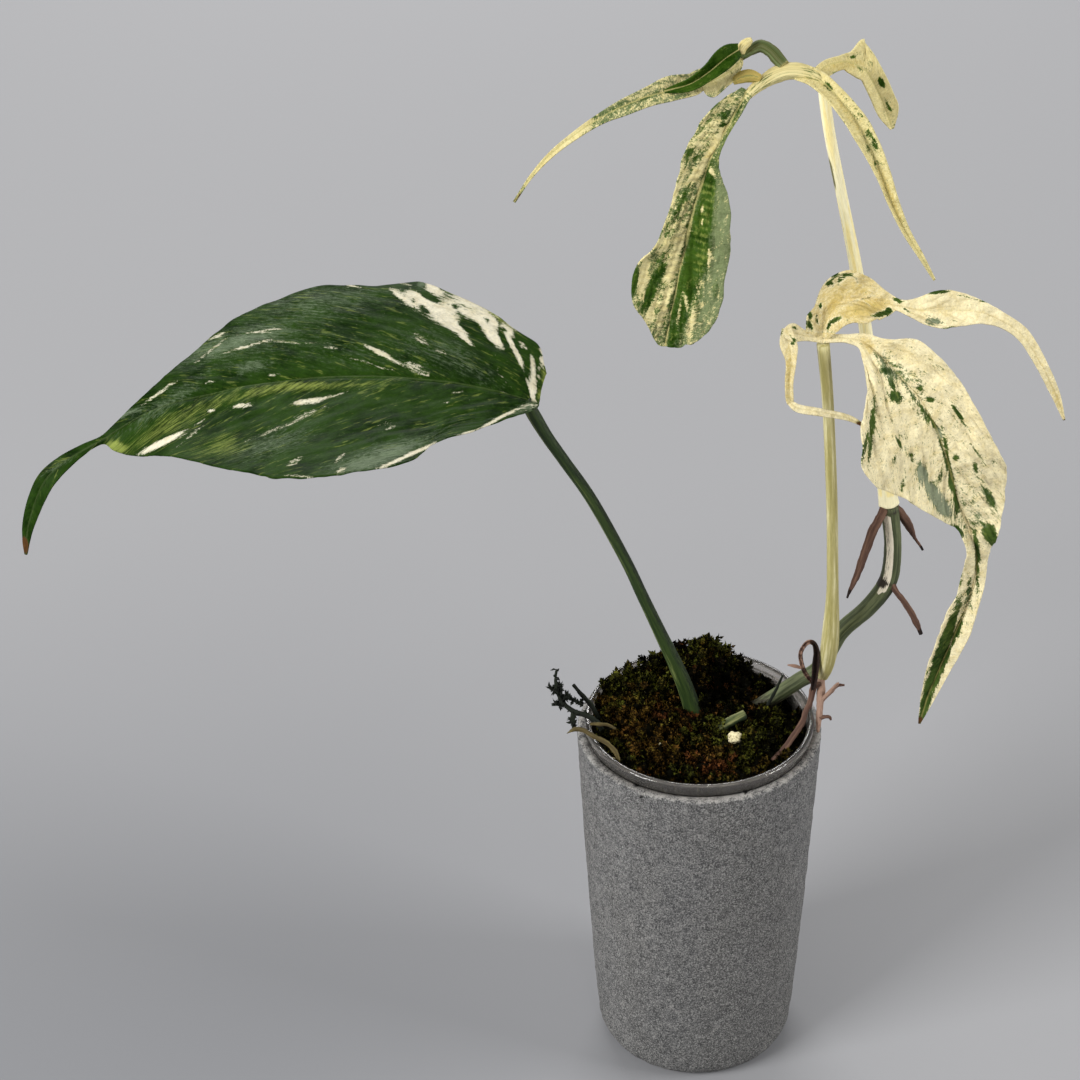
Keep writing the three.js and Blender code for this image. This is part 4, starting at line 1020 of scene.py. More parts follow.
def green_petiole():
    skin = stem_skin("green petiole", ("1e310f", "36481c", "747f48", "0d1a06"), 0.5, 70)
    part = tube(**GREEN_PETIOLE, sides=20, per=8, flutes=(1, 0.04))
    # Painted light and shade: paler on the side that faces left, forward and up, and darker on the side that
    # faces right and down
    marked(part, 0.42 * facing_weight(part, (-1, -0.3, 0.2)), 0.7 * facing_weight(part, (1, -0.1, -0.4), 0.5))
    dress(merged("petiole_of_green_leaf", [part]), ["petiole_green_leaf"], "petiole_green", skin)


def cream_petiole():
    skin = stem_skin("cream petiole", ("a89e60", "c4ba82", "dcd4a4", "474a1c"), 0.45, 55)
    part = tube(**CREAM_PETIOLE, sides=72, per=9, flutes=(5, 0.035))
    grooves = sum(facing_weight(part, (x, -0.85, 0.2), 0.994, 500) for x in (-0.4, 0.14, 0.52))
    low = fading_above(part["points"][..., 2], CREAM_PALE_BELOW, 4)
    marked(part, 0.34 + 0.16 * low, 0.95 * grooves * (1 - 0.4 * low))
    dress(merged("petiole_of_cream_leaf", [part]), ["petiole_cream_leaf"], "petiole_cream", skin)


def top_petiole():
    skin = stem_skin("ivory petiole", ("ffeca6", "fff3b8", "fff6cc", "77744a"), 0.42, 50)
    part = tube(**TOP_PETIOLE, sides=40, per=9, flutes=(4, 0.03))
    height = part["points"][..., 2]
    scar = facing_weight(part, (-1, -0.25, 0), 0.86, 40) * np.exp(-(((height - SCAR_HEIGHT) / 5) ** 4))
    marked(part, 0.5 + 0.4 * (height < SHEATH_TOP), 0.22 * facing_weight(part, (-1, 0.2, 0)) + scar)
    dress(merged("petiole_of_top_leaf", [part]), ["petiole_top_leaf"], "petiole_cream", skin)


def vine():
    skin = stem_skin("olive vine", ("394226", "666d4a", "f0e6cf", "2a2418"), 0.55, 85, 0.25)
    part = tube(**VINE, sides=36, per=9, flutes=(6, 0.03), roughness=0.08)
    height = part["points"][..., 2]
    strip = facing_weight(part, (-0.45, -0.89, 0), 0.92, 60) * between(height, PALE_STRIP)
    bruise = facing_weight(part, (-0.9, -0.3, 0), 0.6, 20) * between(height, BRUISE)
    rings = sum(np.exp(-((height - level) / reach) ** 2) for level, reach in VINE_NODES)
    buried = fading_above(height, BURIED_BELOW, 1.6)
    marked(part, 1.3 * strip, 0.6 * rings + 0.36 * bruise + 0.8 * buried)
    dress(merged("vine", [part]), ["vine_stem"], "vine", skin)


# Aerial roots and small pieces
ROOTS = {
    "aerial_root_left": {
        "points": [(65.4, 14, 227), (63.3, 11.6, 223.5), (61.2, 9.4, 220.8), (58.8, 7, 214.3), (55.8, 5, 205),
                   (52.4, 3, 196.6)],
        "radii": [1.5, 1.6, 1.7, 1.5, 1.2, 0.35],
    },
    "aerial_root_right": {
        "points": [(69.4, 16.6, 226.5), (72, 17.6, 222.5), (75.1, 19, 217), (78.1, 20, 210.4),
                   (81.4, 21, 204.5)],
        "radii": [1.5, 1.7, 1.6, 0.7, 0.45],
    },
    "aerial_root_low": {
        "points": [(69, 12.6, 197), (71, 11.2, 193.6), (74.4, 10, 189), (77.9, 9, 183), (80.7, 8, 176.5)],
        "radii": [1.2, 1.1, 1.1, 1.2, 0.7],
    },
}

# The strands over the rim: points, radii and how light each is
RIM_ROOTS = [
    ([(45.3, 9, 156.7), (45, 6, 153.7), (44.6, 3, 151.4), (44.1, 0, 148), (43.6, -3.2, 145.5),
      (42.9, -7, 144.5)], [1.4, 1.5, 1.4, 1.2, 1, 0.6], 0.75),
    ([(44.8, 7, 155.5), (43, 6.4, 155.6), (41.8, 5, 153.7), (40.7, 2, 150.9), (38.9, -1.5, 149.6),
      (36.9, -7.6, 149), (33.6, -12.9, 147.8), (30.6, -17.5, 146.6), (27.9, -20.8, 145.8),
      (24.7, -24, 145.3)],
     [1.1, 1.2, 1.2, 1.1, 1, 1.1, 1.1, 1.1, 1, 0.5], 0.1),
    ([(44.5, 2.6, 150.8), (47.3, 3.4, 153.8), (49.2, 3, 156.5), (50.9, 2.4, 159.4)],
     [1.1, 0.9, 0.8, 0.4], 0.65),
    ([(49.2, 3, 156.5), (51, 3, 157.8), (53.2, 3, 157.9)], [0.7, 0.6, 0.4], 0.2),
    ([(43.8, -1.6, 146.8), (46, -1.5, 147), (47.6, -1.6, 147), (48.2, -2, 145.9)], [0.9, 0.8, 0.6, 0.4], 0.3),
]

# The husk: its band as stations of a lobe, and its torn stub
HUSK_RIBBON = [
    [(41.9, 5.2, 157.6), (0.6, 0, 0), (0.6, 0, 0)],
    [(39.1, 4.8, 162), (0.8, 10, 0), (0.8, 10, 0)],
    [(37.3, 5, 166.9), (0.9, 20, 0), (0.8, 20, 0)],
    [(37, 5.4, 171.5), (0.9, 30, 0), (0.8, 20, 0)],
    [(39.1, 6, 175.1), (1, 30, 0), (0.9, 30, 0)],
    [(41.4, 6.2, 174.8), (1.4, 40, 0), (1.2, 30, 0)],
    [(42.5, 5.8, 171.5), (2, 40, 0), (1.6, 30, 0)],
    [(42.4, 5.2, 166.5), (2.3, 40, 0), (2, 30, 0)],
    [(42.2, 4.9, 161.8), (2, 40, 0), (1.7, 30, 0)],
    [(41.9, 4.7, 157.6), (1.3, 30, 0), (1.2, 20, 0)],
    [(41.7, 4.6, 154.4), (0.5, 10, 0), (0.5, 10, 0)],
]
HUSK_STUB = ([(37.6, 5, 164.6), (34.9, 4.6, 165.9), (32.3, 4.2, 166.7)], [0.8, 0.8, 0.4])

# Where along the husk its dark part starts, as a share of it, and how thick it is
HUSK_DARK_FROM = 0.45
HUSK_THICKNESS = 0.35

# The cut stub and the grain that lie on the moss, and what hangs over the left of the rim or leans on it
STUB = {"points": [(6.4, -4.4, 144.6), (11, -1.6, 145.6), (16.8, 1.2, 147)], "radii": [1.5, 1.9, 1.7]}
GRAIN = {"centre": (12.3, -11.6, 146.2), "radii": (2.7, 2.3, 2)}
STICK = {"points": [(-36.4, 4.6, 143.6), (-39.4, 5.2, 149.8), (-42.6, 5.6, 154), (-45.8, 6, 158.6)],
         "radii": [0.9, 0.9, 0.8, 0.6]}
SPRIG_STEMS = [
    ([(-34.5, -4, 142.5), (-37.2, -3.4, 147.6), (-41, -2.2, 150.6), (-45.6, -0.8, 151.3), (-49, 0.2, 154),
      (-51.5, 0.5, 159), (-52.3, 0.5, 164.9), (-51.9, 0.5, 169.7)], [0.9, 1, 1, 1, 0.9, 0.8, 0.6, 0.3]),
    ([(-51.5, 0.5, 159), (-53.1, 0.5, 160.5), (-54.4, 0.6, 161.4)], [0.5, 0.5, 0.3]),
    ([(-49.6, 0.4, 154.9), (-51.2, 0.4, 153.8), (-52.8, 0.5, 154.6)], [0.5, 0.5, 0.3]),
    ([(-50, 0.5, 155.7), (-48.7, 0.5, 157.2), (-48.2, 0.5, 158.6)], [0.5, 0.4, 0.3]),
    ([(-51.5, 0.5, 159.4), (-50.8, 0.5, 160.8), (-50.4, 0.5, 162.4)], [0.5, 0.4, 0.3]),
    ([(-48.8, 0.6, 157), (-45.4, 2, 154.3), (-42.2, 3.2, 152.2)], [0.5, 0.5, 0.3]),
    ([(-45.8, -0.8, 151.2), (-46.4, -2.2, 148.6), (-46.2, -3.4, 146)], [1, 1, 0.5]),
]
TWIG = {"points": [(-30.2, -22.2, 145), (-31.5, -18.7, 146.6), (-34.4, -15.7, 148.2), (-39.6, -13.4, 150),
                   (-42.5, -10.8, 150.4), (-45.7, -10.2, 150.6), (-48.7, -12.4, 150.4)],
        "radii": [0.6, 0.9, 0.9, 0.8, 0.9, 0.8, 0.25]}
OLIVE_STRAND = ([(-40, -6.2, 149.8), (-36.5, -5.9, 149.4), (-33.6, -5.3, 148.4), (-30.7, -5.9, 147)],
                [0.5, 0.7, 0.6, 0.4])
BLACK_SPLINTER = ([(31.1, 8, 159.5), (28.7, 8, 152.7), (26, 8.5, 145.6)], [0.35, 0.55, 0.7])


def aerial_roots(brown):
    """The three roots at the nodes, with dark tips"""
    for name, shape in ROOTS.items():
        part = tube(**shape, sides=16, per=8, roughness=0.26, seed=len(name))
        tip = np.clip((part["share"] - 0.86) / 0.08, 0, 1)
        dress(merged(name + "_bark", [marked(part, 0.2 * (1 - tip), 0.9 * tip)]), [name], "root", brown)


def rim_roots(brown):
    """The strands that bend over the lip; each has its own lightness"""
    strands = []
    for seed, (points, radii, light) in enumerate(RIM_ROOTS):
        strands.append(marked(tube(points, radii, sides=14, per=8, roughness=0.28, seed=seed), light))
    dress(merged("rim_root_strands", strands), ["root_over_rim"], "root", brown)


def dried_husk():
    """The papery band, which turns dark where it folds down, and its torn stub"""
    papery = stem_skin("dried sheath", ("3a241b", "54382b", "927260", "140c09"), 0.6, 60, 0.3)
    ribbon = lobe(HUSK_RIBBON, curl=(40, 30), columns=8, quilt=(3, 0.1), groove=0, ground=DEEP, wobble=1.2)
    along = np.linspace(0, 1, len(ribbon["points"]))[:, None]
    ribbon["marks"][..., 0] = 0.45 * (along < HUSK_DARK_FROM)
    ribbon["marks"][..., 1] = 0.1 + 0.5 / (1 + np.exp((HUSK_DARK_FROM - along) / 0.02))
    husk = merged("husk_ribbon", [ribbon])
    apply_modifier(husk, "SOLIDIFY", thickness=HUSK_THICKNESS * MM, offset=0)
    dress(husk, ["dried_husk"], "husk", papery)
    stub = marked(tube(*HUSK_STUB, sides=10, per=6, roughness=0.2, squash=0.6), 0.9)
    dress(merged("husk_stub", [stub]), [], "husk", papery)


def cut_stub():
    skin = stem_skin("cut stub", ("222e16", "4c5a2c", "8a8a58", "0e1307"), 0.6, 45)
    stub = tube(**STUB, sides=16, per=8, roughness=0.12)
    dress(merged("cut_stub_bark", [marked(stub, 0.42, 0.2)]), ["cut_stub"], "vine", skin)


def litter(black):
    """The dark stick, the pale twig with an olive strand, and a black splinter"""
    stick = tube(**STICK, sides=12, per=8, roughness=0.15)
    dress(merged("dark_stick_bark", [marked(stick)]), ["dark_stick"], "sprig", black)
    pale = stem_skin("pale splinter", ("4a3f24", "6d6138", "94855a", "1f180d"), 0.85, 80, 0.4)
    twig = tube(**TWIG, sides=12, per=8, roughness=0.25)
    strand = tube(*OLIVE_STRAND, sides=8, per=6, roughness=0.3)
    dress(merged("splinter", [marked(twig, 0.3), marked(strand, 0.1)]), ["pale_twig"], "twig", pale)
    needle = tube(*BLACK_SPLINTER, sides=8, per=6, roughness=0.2)
    dress(merged("black_splinter", [marked(needle)]), [], "sprig", black)


def sprig(black):
    """The dark tuft that hangs over the left of the rim: stems set with small limp leaves"""
    draw = np.random.default_rng(3)
    parts = []
    for seed, (points, radii) in enumerate(SPRIG_STEMS):
        parts.append(marked(tube(points, radii, sides=8, per=6, roughness=0.2, seed=seed)))
    leaf_points = np.array([(0, 0, 0), (0.3, -0.08, 0.5), (0, 0, 1), (-0.3, -0.08, 0.5)], float)
    for points, _ in SPRIG_STEMS:
        spots = through(points, 60)[8:]
        lean = draw.normal(0, 1, (len(spots), 3)) + (0, 0, 0.3)
        parts.append(planted((leaf_points, LEAFLET), spots, lean, draw.uniform(1.2, 2.6, len(spots)),
                             draw.uniform(0, 6.3, len(spots)), np.zeros((len(spots), 4))))
    dress(merged("wilted_tuft", parts), ["moss_sprig"], "sprig", black)


# Small white grains on the moss, as pixels of the photograph and their radius
PERLITE_BITS = [(606, 695, 0.8), (643, 693, 0.8), (613, 759, 0.7), (640, 690, 0.5), (660, 744, 0.5),
                (716, 752, 0.5)]


def on_moss(x, y):
    """The place on the moss that shows at a pixel of the photograph"""
    ray = AHEAD + (x - PHOTO / 2) / FOCAL * RIGHT + (PHOTO / 2 - y) / FOCAL * UP
    level = SOIL_LEVEL + 1
    for _ in range(4):
        place = EYE + ray * (level - EYE[2]) / ray[2]
        level = moss_height(place[0], place[1]) + 0.8
    return place


def crumb(name, centre, radii, seed):
    """A grain of perlite: an icosphere with hollows pushed in"""
    bpy.ops.mesh.primitive_ico_sphere_add(subdivisions=4, radius=1)
    made = bpy.context.active_object
    made.name = name
    points = mesh_points(made) * MM
    points *= 1 + 0.22 * lumps(points, 0.7, seed)[:, None]
    set_points(made, points * np.array(radii) + np.array(centre))
    made.select_set(False)
    return made


def perlite():
    """The grain that the frame has, and smaller ones that are in this script alone"""
    white = crumbly_white()
    dress(crumb("perlite_crumb", GRAIN["centre"], GRAIN["radii"], 2.0), ["perlite_grain"], "perlite", white)
    for count, (x, y, radius) in enumerate(PERLITE_BITS):
        size = np.array([1.3, 1, 0.9]) * radius
        dress(crumb(f"perlite_bit_{count}", on_moss(x, y), size, 3.0 + count), [], "perlite", white)


# Blades, as the frame has them
GREEN_BLADE = [
    [(-56, -5, 284.5), (14.5, -34, -3), (5, 42, 4)],
    [(-62, -6, 287.5), (25.5, -34, -6.5), (12, 42, 5)],
    [(-72, -7, 291.5), (31, -34, -7), (24, 42, 8)],
    [(-84, -8, 295), (40, -34, -6), (35, 42, 11.5)],
    [(-97, -10, 298), (46.5, -34, -4), (46, 42, 12)],
    [(-112, -11, 300), (43, -34, -1.5), (50, 42, 10.5)],
    [(-127, -12, 300.5), (43.5, -34, 1), (50.5, 42, 9.5)],
    [(-140, -13, 300), (37.5, -34, 3.5), (47, 42, 10)],
    [(-153, -15, 299.5), (30.5, -34, 3), (41, 42, 9.5)],
    [(-165, -17, 298), (21.5, -34, 2), (32, 41, 8.5)],
    [(-176.5, -19, 296.5), (12, -32, 2), (23, 38, 8.5)],
    [(-187, -21, 293), (6, -28, 0.5), (13.5, 30, 8)],
    [(-195, -23, 289), (2.8, -20, 0), (6, 20, 5)],
    [(-200.5, -24.5, 286), (1.4, -10, 0), (1.2, 10, 1)],
    [(-207, -26, 283), (2, -10, 0), (1.6, 10, 1)],
    [(-214, -28, 279.5), (2.5, -10, 0), (3, 10, 0)],
    [(-220, -29, 274), (3.1, -10, 0), (3.5, 10, 0)],
    [(-224, -30, 267), (3, -10, 0.5), (3.1, 10, 0)],
    [(-227.5, -31, 258), (2.4, -10, 0.5), (2.2, 10, 0)],
    [(-229.2, -31, 251), (1.5, -10, 0), (1.2, 10, 0)],
    [(-230, -31, 245.5), (0.5, 0, 0), (0.4, 0, 0)],
]
BROAD_LOBE = [
    [(39, -4, 306.5), (1.5, 10, 0), (1.5, 10, 0)],
    [(47, -4, 306.3), (1.5, 10, 0), (1.5, 10, 0)],
    [(51.7, -5, 305.7), (3.3, 20, 1), (3, 10, 1)],
    [(55.8, -8, 303.5), (8.4, 22, 3), (6.3, 12, 1.5)],
    [(61, -11, 299.5), (17, 20, 2.5), (12, 14, 0)],
    [(66, -14, 294.8), (25.5, 16, 2.5), (14, 12, 0.5)],
    [(70.5, -16, 289.2), (31, 14, 4.5), (14.5, 10, 1)],
    [(75.2, -18, 282), (28.5, 14, 8.5), (14.5, 8, 2.5)],
    [(79, -19, 272.5), (19, 16, 10), (16, 6, 2.5)],
    [(82, -20, 263), (13, 18, 8.5), (18.5, 6, 5)],
    [(85, -20, 253), (8, 18, 6), (15.5, 6, 7)],
    [(88.3, -20, 243.8), (4.2, 16, 2), (11, 8, 4)],
    [(91.2, -20, 235.8), (3.6, 20, -1), (8, 20, 1)],
    [(93.2, -19, 228), (4.6, 20, -2), (4.6, 20, -1.5)],
    [(93.8, -18, 218.5), (5.4, 20, -2.5), (3.6, 20, -1)],
    [(92.5, -16, 207), (6.1, 24, -3), (3.6, 20, 0)],
    [(89, -14, 192), (7, 26, -3), (5, 20, -0.5)],
    [(84.7, -13, 176.5), (5.5, 24, -2), (4, 18, 0)],
    [(81.2, -12, 162.5), (2.6, 16, -0.5), (2.5, 14, 0.5)],
    [(79, -12, 151), (0.4, 0, 0), (0.4, 0, 0)],
]
FOLDED_LOBE = [
    [(39, -4, 307), (2, 10, 0), (6.2, 10, 1)],
    [(39.9, -2, 312.8), (7.2, 34, -1), (6.6, 12, -1)],
    [(42.7, 0, 317), (13.5, 36, 2.5), (5.2, 20, -4)],
    [(48, 1, 319), (11, 34, 7), (9, 24, -4.8)],
    [(53.7, 1, 318.3), (6, 30, 7), (8.5, 24, -5)],
    [(58.6, 0, 317.2), (2.8, 20, 4), (5, 16, -1)],
    [(63.8, -1, 316.6), (1.8, 0, 0), (2.3, 0, 0)],
    [(68.4, -2, 316), (3.2, 20, -0.5), (3.5, 10, 0.5)],
    [(74.6, -4, 316.2), (6, 24, -1), (6.6, 16, 1)],
    [(82, -5, 316.8), (6.7, 24, -1), (6.2, 16, 0.5)],
    [(90, -6, 316), (4.4, 18, -0.5), (4.2, 12, 0)],
    [(98, -7, 313), (2.5, 14, -0.5), (2.7, 10, 0)],
    [(104.6, -8, 308), (1.9, 12, 0), (2.6, 10, -0.5)],
    [(110.8, -9, 298.8), (2.1, 12, -0.5), (2.1, 10, 0)],
    [(116.8, -10, 287), (1.6, 10, 0), (1.6, 10, -0.5)],
    [(120.8, -10, 276.5), (0.4, 0, 0), (0.4, 0, 0)],
]
TONGUE_ARM = [
    [(39.5, -4, 306.3), (1.5, 0, 0), (1.5, 0, 0)],
    [(33, -5, 308.3), (1.8, 10, 0.5), (1.7, 10, -0.5)],
    [(28.5, -6.2, 310), (3.4, 20, 0.5), (3, 20, 0)],
    [(25.6, -7, 310.6), (1.6, 10, 0), (1.6, 10, 0)],
]
TONGUE_FALL = [
    [(26.4, -6.4, 312.2), (1.6, 10, 0), (1.6, 10, 0)],
    [(27, -8.2, 307.2), (3.2, 24, 0), (3, 20, 1)],
    [(27.8, -11, 302), (1.9, 20, 0), (1.8, 20, 0)],
    [(27.2, -13, 295), (1.5, 24, 0), (1.4, 20, 0)],
    [(27.6, -14, 289), (1.4, 10, 0), (1.2, 10, 0)],
    [(28.2, -14.2, 287.3), (0.8, 0, 0), (0.8, 0, 0)],
]
TONGUE_TIP = [
    [(27.3, -14, 288.4), (0.9, 0, 0), (0.9, 0, 0)],
    [(30.5, -15, 286.3), (1.5, 10, 0), (1.3, 10, 0)],
    [(38, -16, 285.2), (1.5, 20, 0), (1.2, 20, 0)],
    [(47, -17, 283.2), (0.9, 10, 0), (1.1, 10, 0)],
    [(53.6, -18, 279.8), (0.4, 0, 0), (0.4, 0, 0)],
]
RIGHT_LOBE = [
    [(28, 8, 397), (3.2, 20, 0.5), (2.4, 20, 0)],
    [(34, 6, 395.8), (4.4, 24, 0.5), (2.9, 24, 0)],
    [(40, 2, 391.7), (4.8, 26, 0.5), (3, 26, 0.5)],
    [(46.5, -2, 384.3), (5, 26, -0.5), (3.7, 26, 0.5)],
    [(51.2, -5, 376), (4.2, 26, -2), (3.7, 26, 0)],
    [(55, -7, 367.3), (2.6, 26, -1.5), (3.3, 26, 0)],
    [(58.5, -9, 358.2), (1.6, 24, -1.5), (2.6, 24, 0)],
    [(63.3, -10, 348.6), (1.4, 20, -1.5), (1.6, 20, 0)],
    [(68.6, -11, 340), (0.9, 10, -1), (1, 10, 0)],
    [(73.6, -11, 331.3), (0.4, 0, 0), (0.4, 0, 0)],
]
BACK_LOBE = [
    [(33, 8.5, 394), (2.1, 10, -1.2), (1.8, 10, 0.8)],
    [(38, 13, 396.4), (3.8, 20, -1.7), (2, 20, 0.2)],
    [(43.8, 17, 396.2), (3.2, 20, -1.8), (2.1, 20, -1.1)],
    [(47, 18.5, 395), (4.3, 20, -1.5), (3.6, 14, -1.9)],
    [(50, 19.5, 393), (4.5, 20, -1.1), (8, 10, -5.2)],
    [(53, 20.5, 390), (4, 20, -0.1), (4.9, 14, -4.3)],
    [(57.3, 22, 381.4), (4, 20, -1.3), (4.6, 20, -0.9)],
    [(60, 22, 375), (3.7, 20, -1.9), (4.3, 20, -1.6)],
    [(61.8, 22, 370), (0.7, 0, 0), (0.7, 0, 0)],
]
HANGING_LOBE = [
    [(12.3, 3, 393.2), (2.2, 10, 0.1), (2.1, 10, 0.4)],
    [(8.6, 0, 387.3), (8.3, 24, 3), (1.9, 10, 0.1)],
    [(4.4, -2, 379.8), (9.4, 24, 2.9), (1.5, 14, -0.1)],
    [(0.9, -4, 373.8), (9.7, 24, 2), (2.7, 16, 0.1)],
    [(-2, -5, 366), (8.6, 24, 1.9), (6.7, 16, -2)],
    [(-4.3, -7, 358.8), (8.1, 22, 0.9), (11.3, 16, -3.3)],
    [(-6.8, -8, 348), (9.7, 20, -0.3), (14.6, 16, -3.7)],
    [(-7.9, -8.5, 342.2), (12, 19, 0.3), (15.3, 16, -3.7)],
    [(-9.1, -9, 336.2), (15.5, 18, 0.2), (15.5, 16, -4.2)],
    [(-11, -11, 327), (14.8, 16, 1.5), (16, 16, -3.9)],
    [(-12.6, -12, 319), (8.7, 16, 0.5), (14.9, 16, -3)],
    [(-13.8, -13, 312.4), (3.7, 14, 0.7), (10.8, 14, -2.6)],
    [(-14.1, -13.5, 310.2), (1.5, 10, 0), (5, 10, -0.4)],
]
LEFT_LOBE = [
    [(11, 10, 401), (1.2, 10, -1), (1.2, 10, 1.2)],
    [(8, 8, 398.4), (3.7, 20, 0.1), (3.9, 20, 4.5)],
    [(1.9, 6, 395.7), (5.1, 20, 0), (5.8, 20, 3)],
    [(-2.2, 5, 395), (4.8, 20, -0.3), (2.8, 20, 0.5)],
    [(-5, 4, 394), (4.8, 20, 0.6), (2.9, 20, 0)],
    [(-12, 2, 393.8), (5.1, 20, 0.9), (3.6, 20, 0.5)],
    [(-19.4, 0, 393.4), (2.9, 20, 0.9), (4, 20, 0.9)],
    [(-26.7, -3, 391.7), (2.3, 20, 1), (3.6, 20, 1)],
    [(-33.8, -5, 389), (1.6, 14, 0), (2.3, 14, 0.5)],
    [(-41.3, -8, 385.5), (1.1, 10, 0), (1.7, 10, 0.5)],
    [(-50, -10, 379.3), (0.8, 10, 0), (1.2, 10, 0)],
    [(-56.8, -12, 372.3), (0.6, 0, 0), (0.6, 0, 0)],
    [(-62.6, -14, 364.2), (0.4, 0, 0), (0.4, 0, 0)],
]
LEFT_TROUGH = [
    [(9.5, 7.5, 405), (2.2, 30, -0.5), (2.6, 30, 1)],
    [(5, 4.5, 403.4), (4.6, 40, 0), (5, 40, 1.5)],
    [(-0.3, 2.5, 399.8), (3.2, 44, 0.5), (4.3, 44, 0)],
    [(-6.3, 1, 396.6), (2.1, 40, 0.5), (3.4, 40, 0)],
    [(-14.3, 0.5, 394.6), (0.5, 10, 0), (0.5, 10, 0)],
]
RACHIS = ([(38.6, 6.8, 392.4), (34.6, 6.5, 396), (30.2, 7.5, 397.1), (25.7, 8, 397.3), (22.3, 8, 396.4),
           (19.1, 7.3, 395), (15.4, 5.2, 393.3), (12.4, 2.8, 391.7)],
          [1.5, 1.8, 2.6, 2.8, 2.8, 2.4, 1.9, 1.5])
LEFT_STALK = ([(24.1, 8, 399.1), (22.6, 9.5, 400.5), (20.1, 11, 403), (17, 12, 404.3), (14.1, 11.5, 403.3),
               (10.8, 9.5, 401.8)], [2, 2.1, 2.1, 2, 1.7, 1.1])

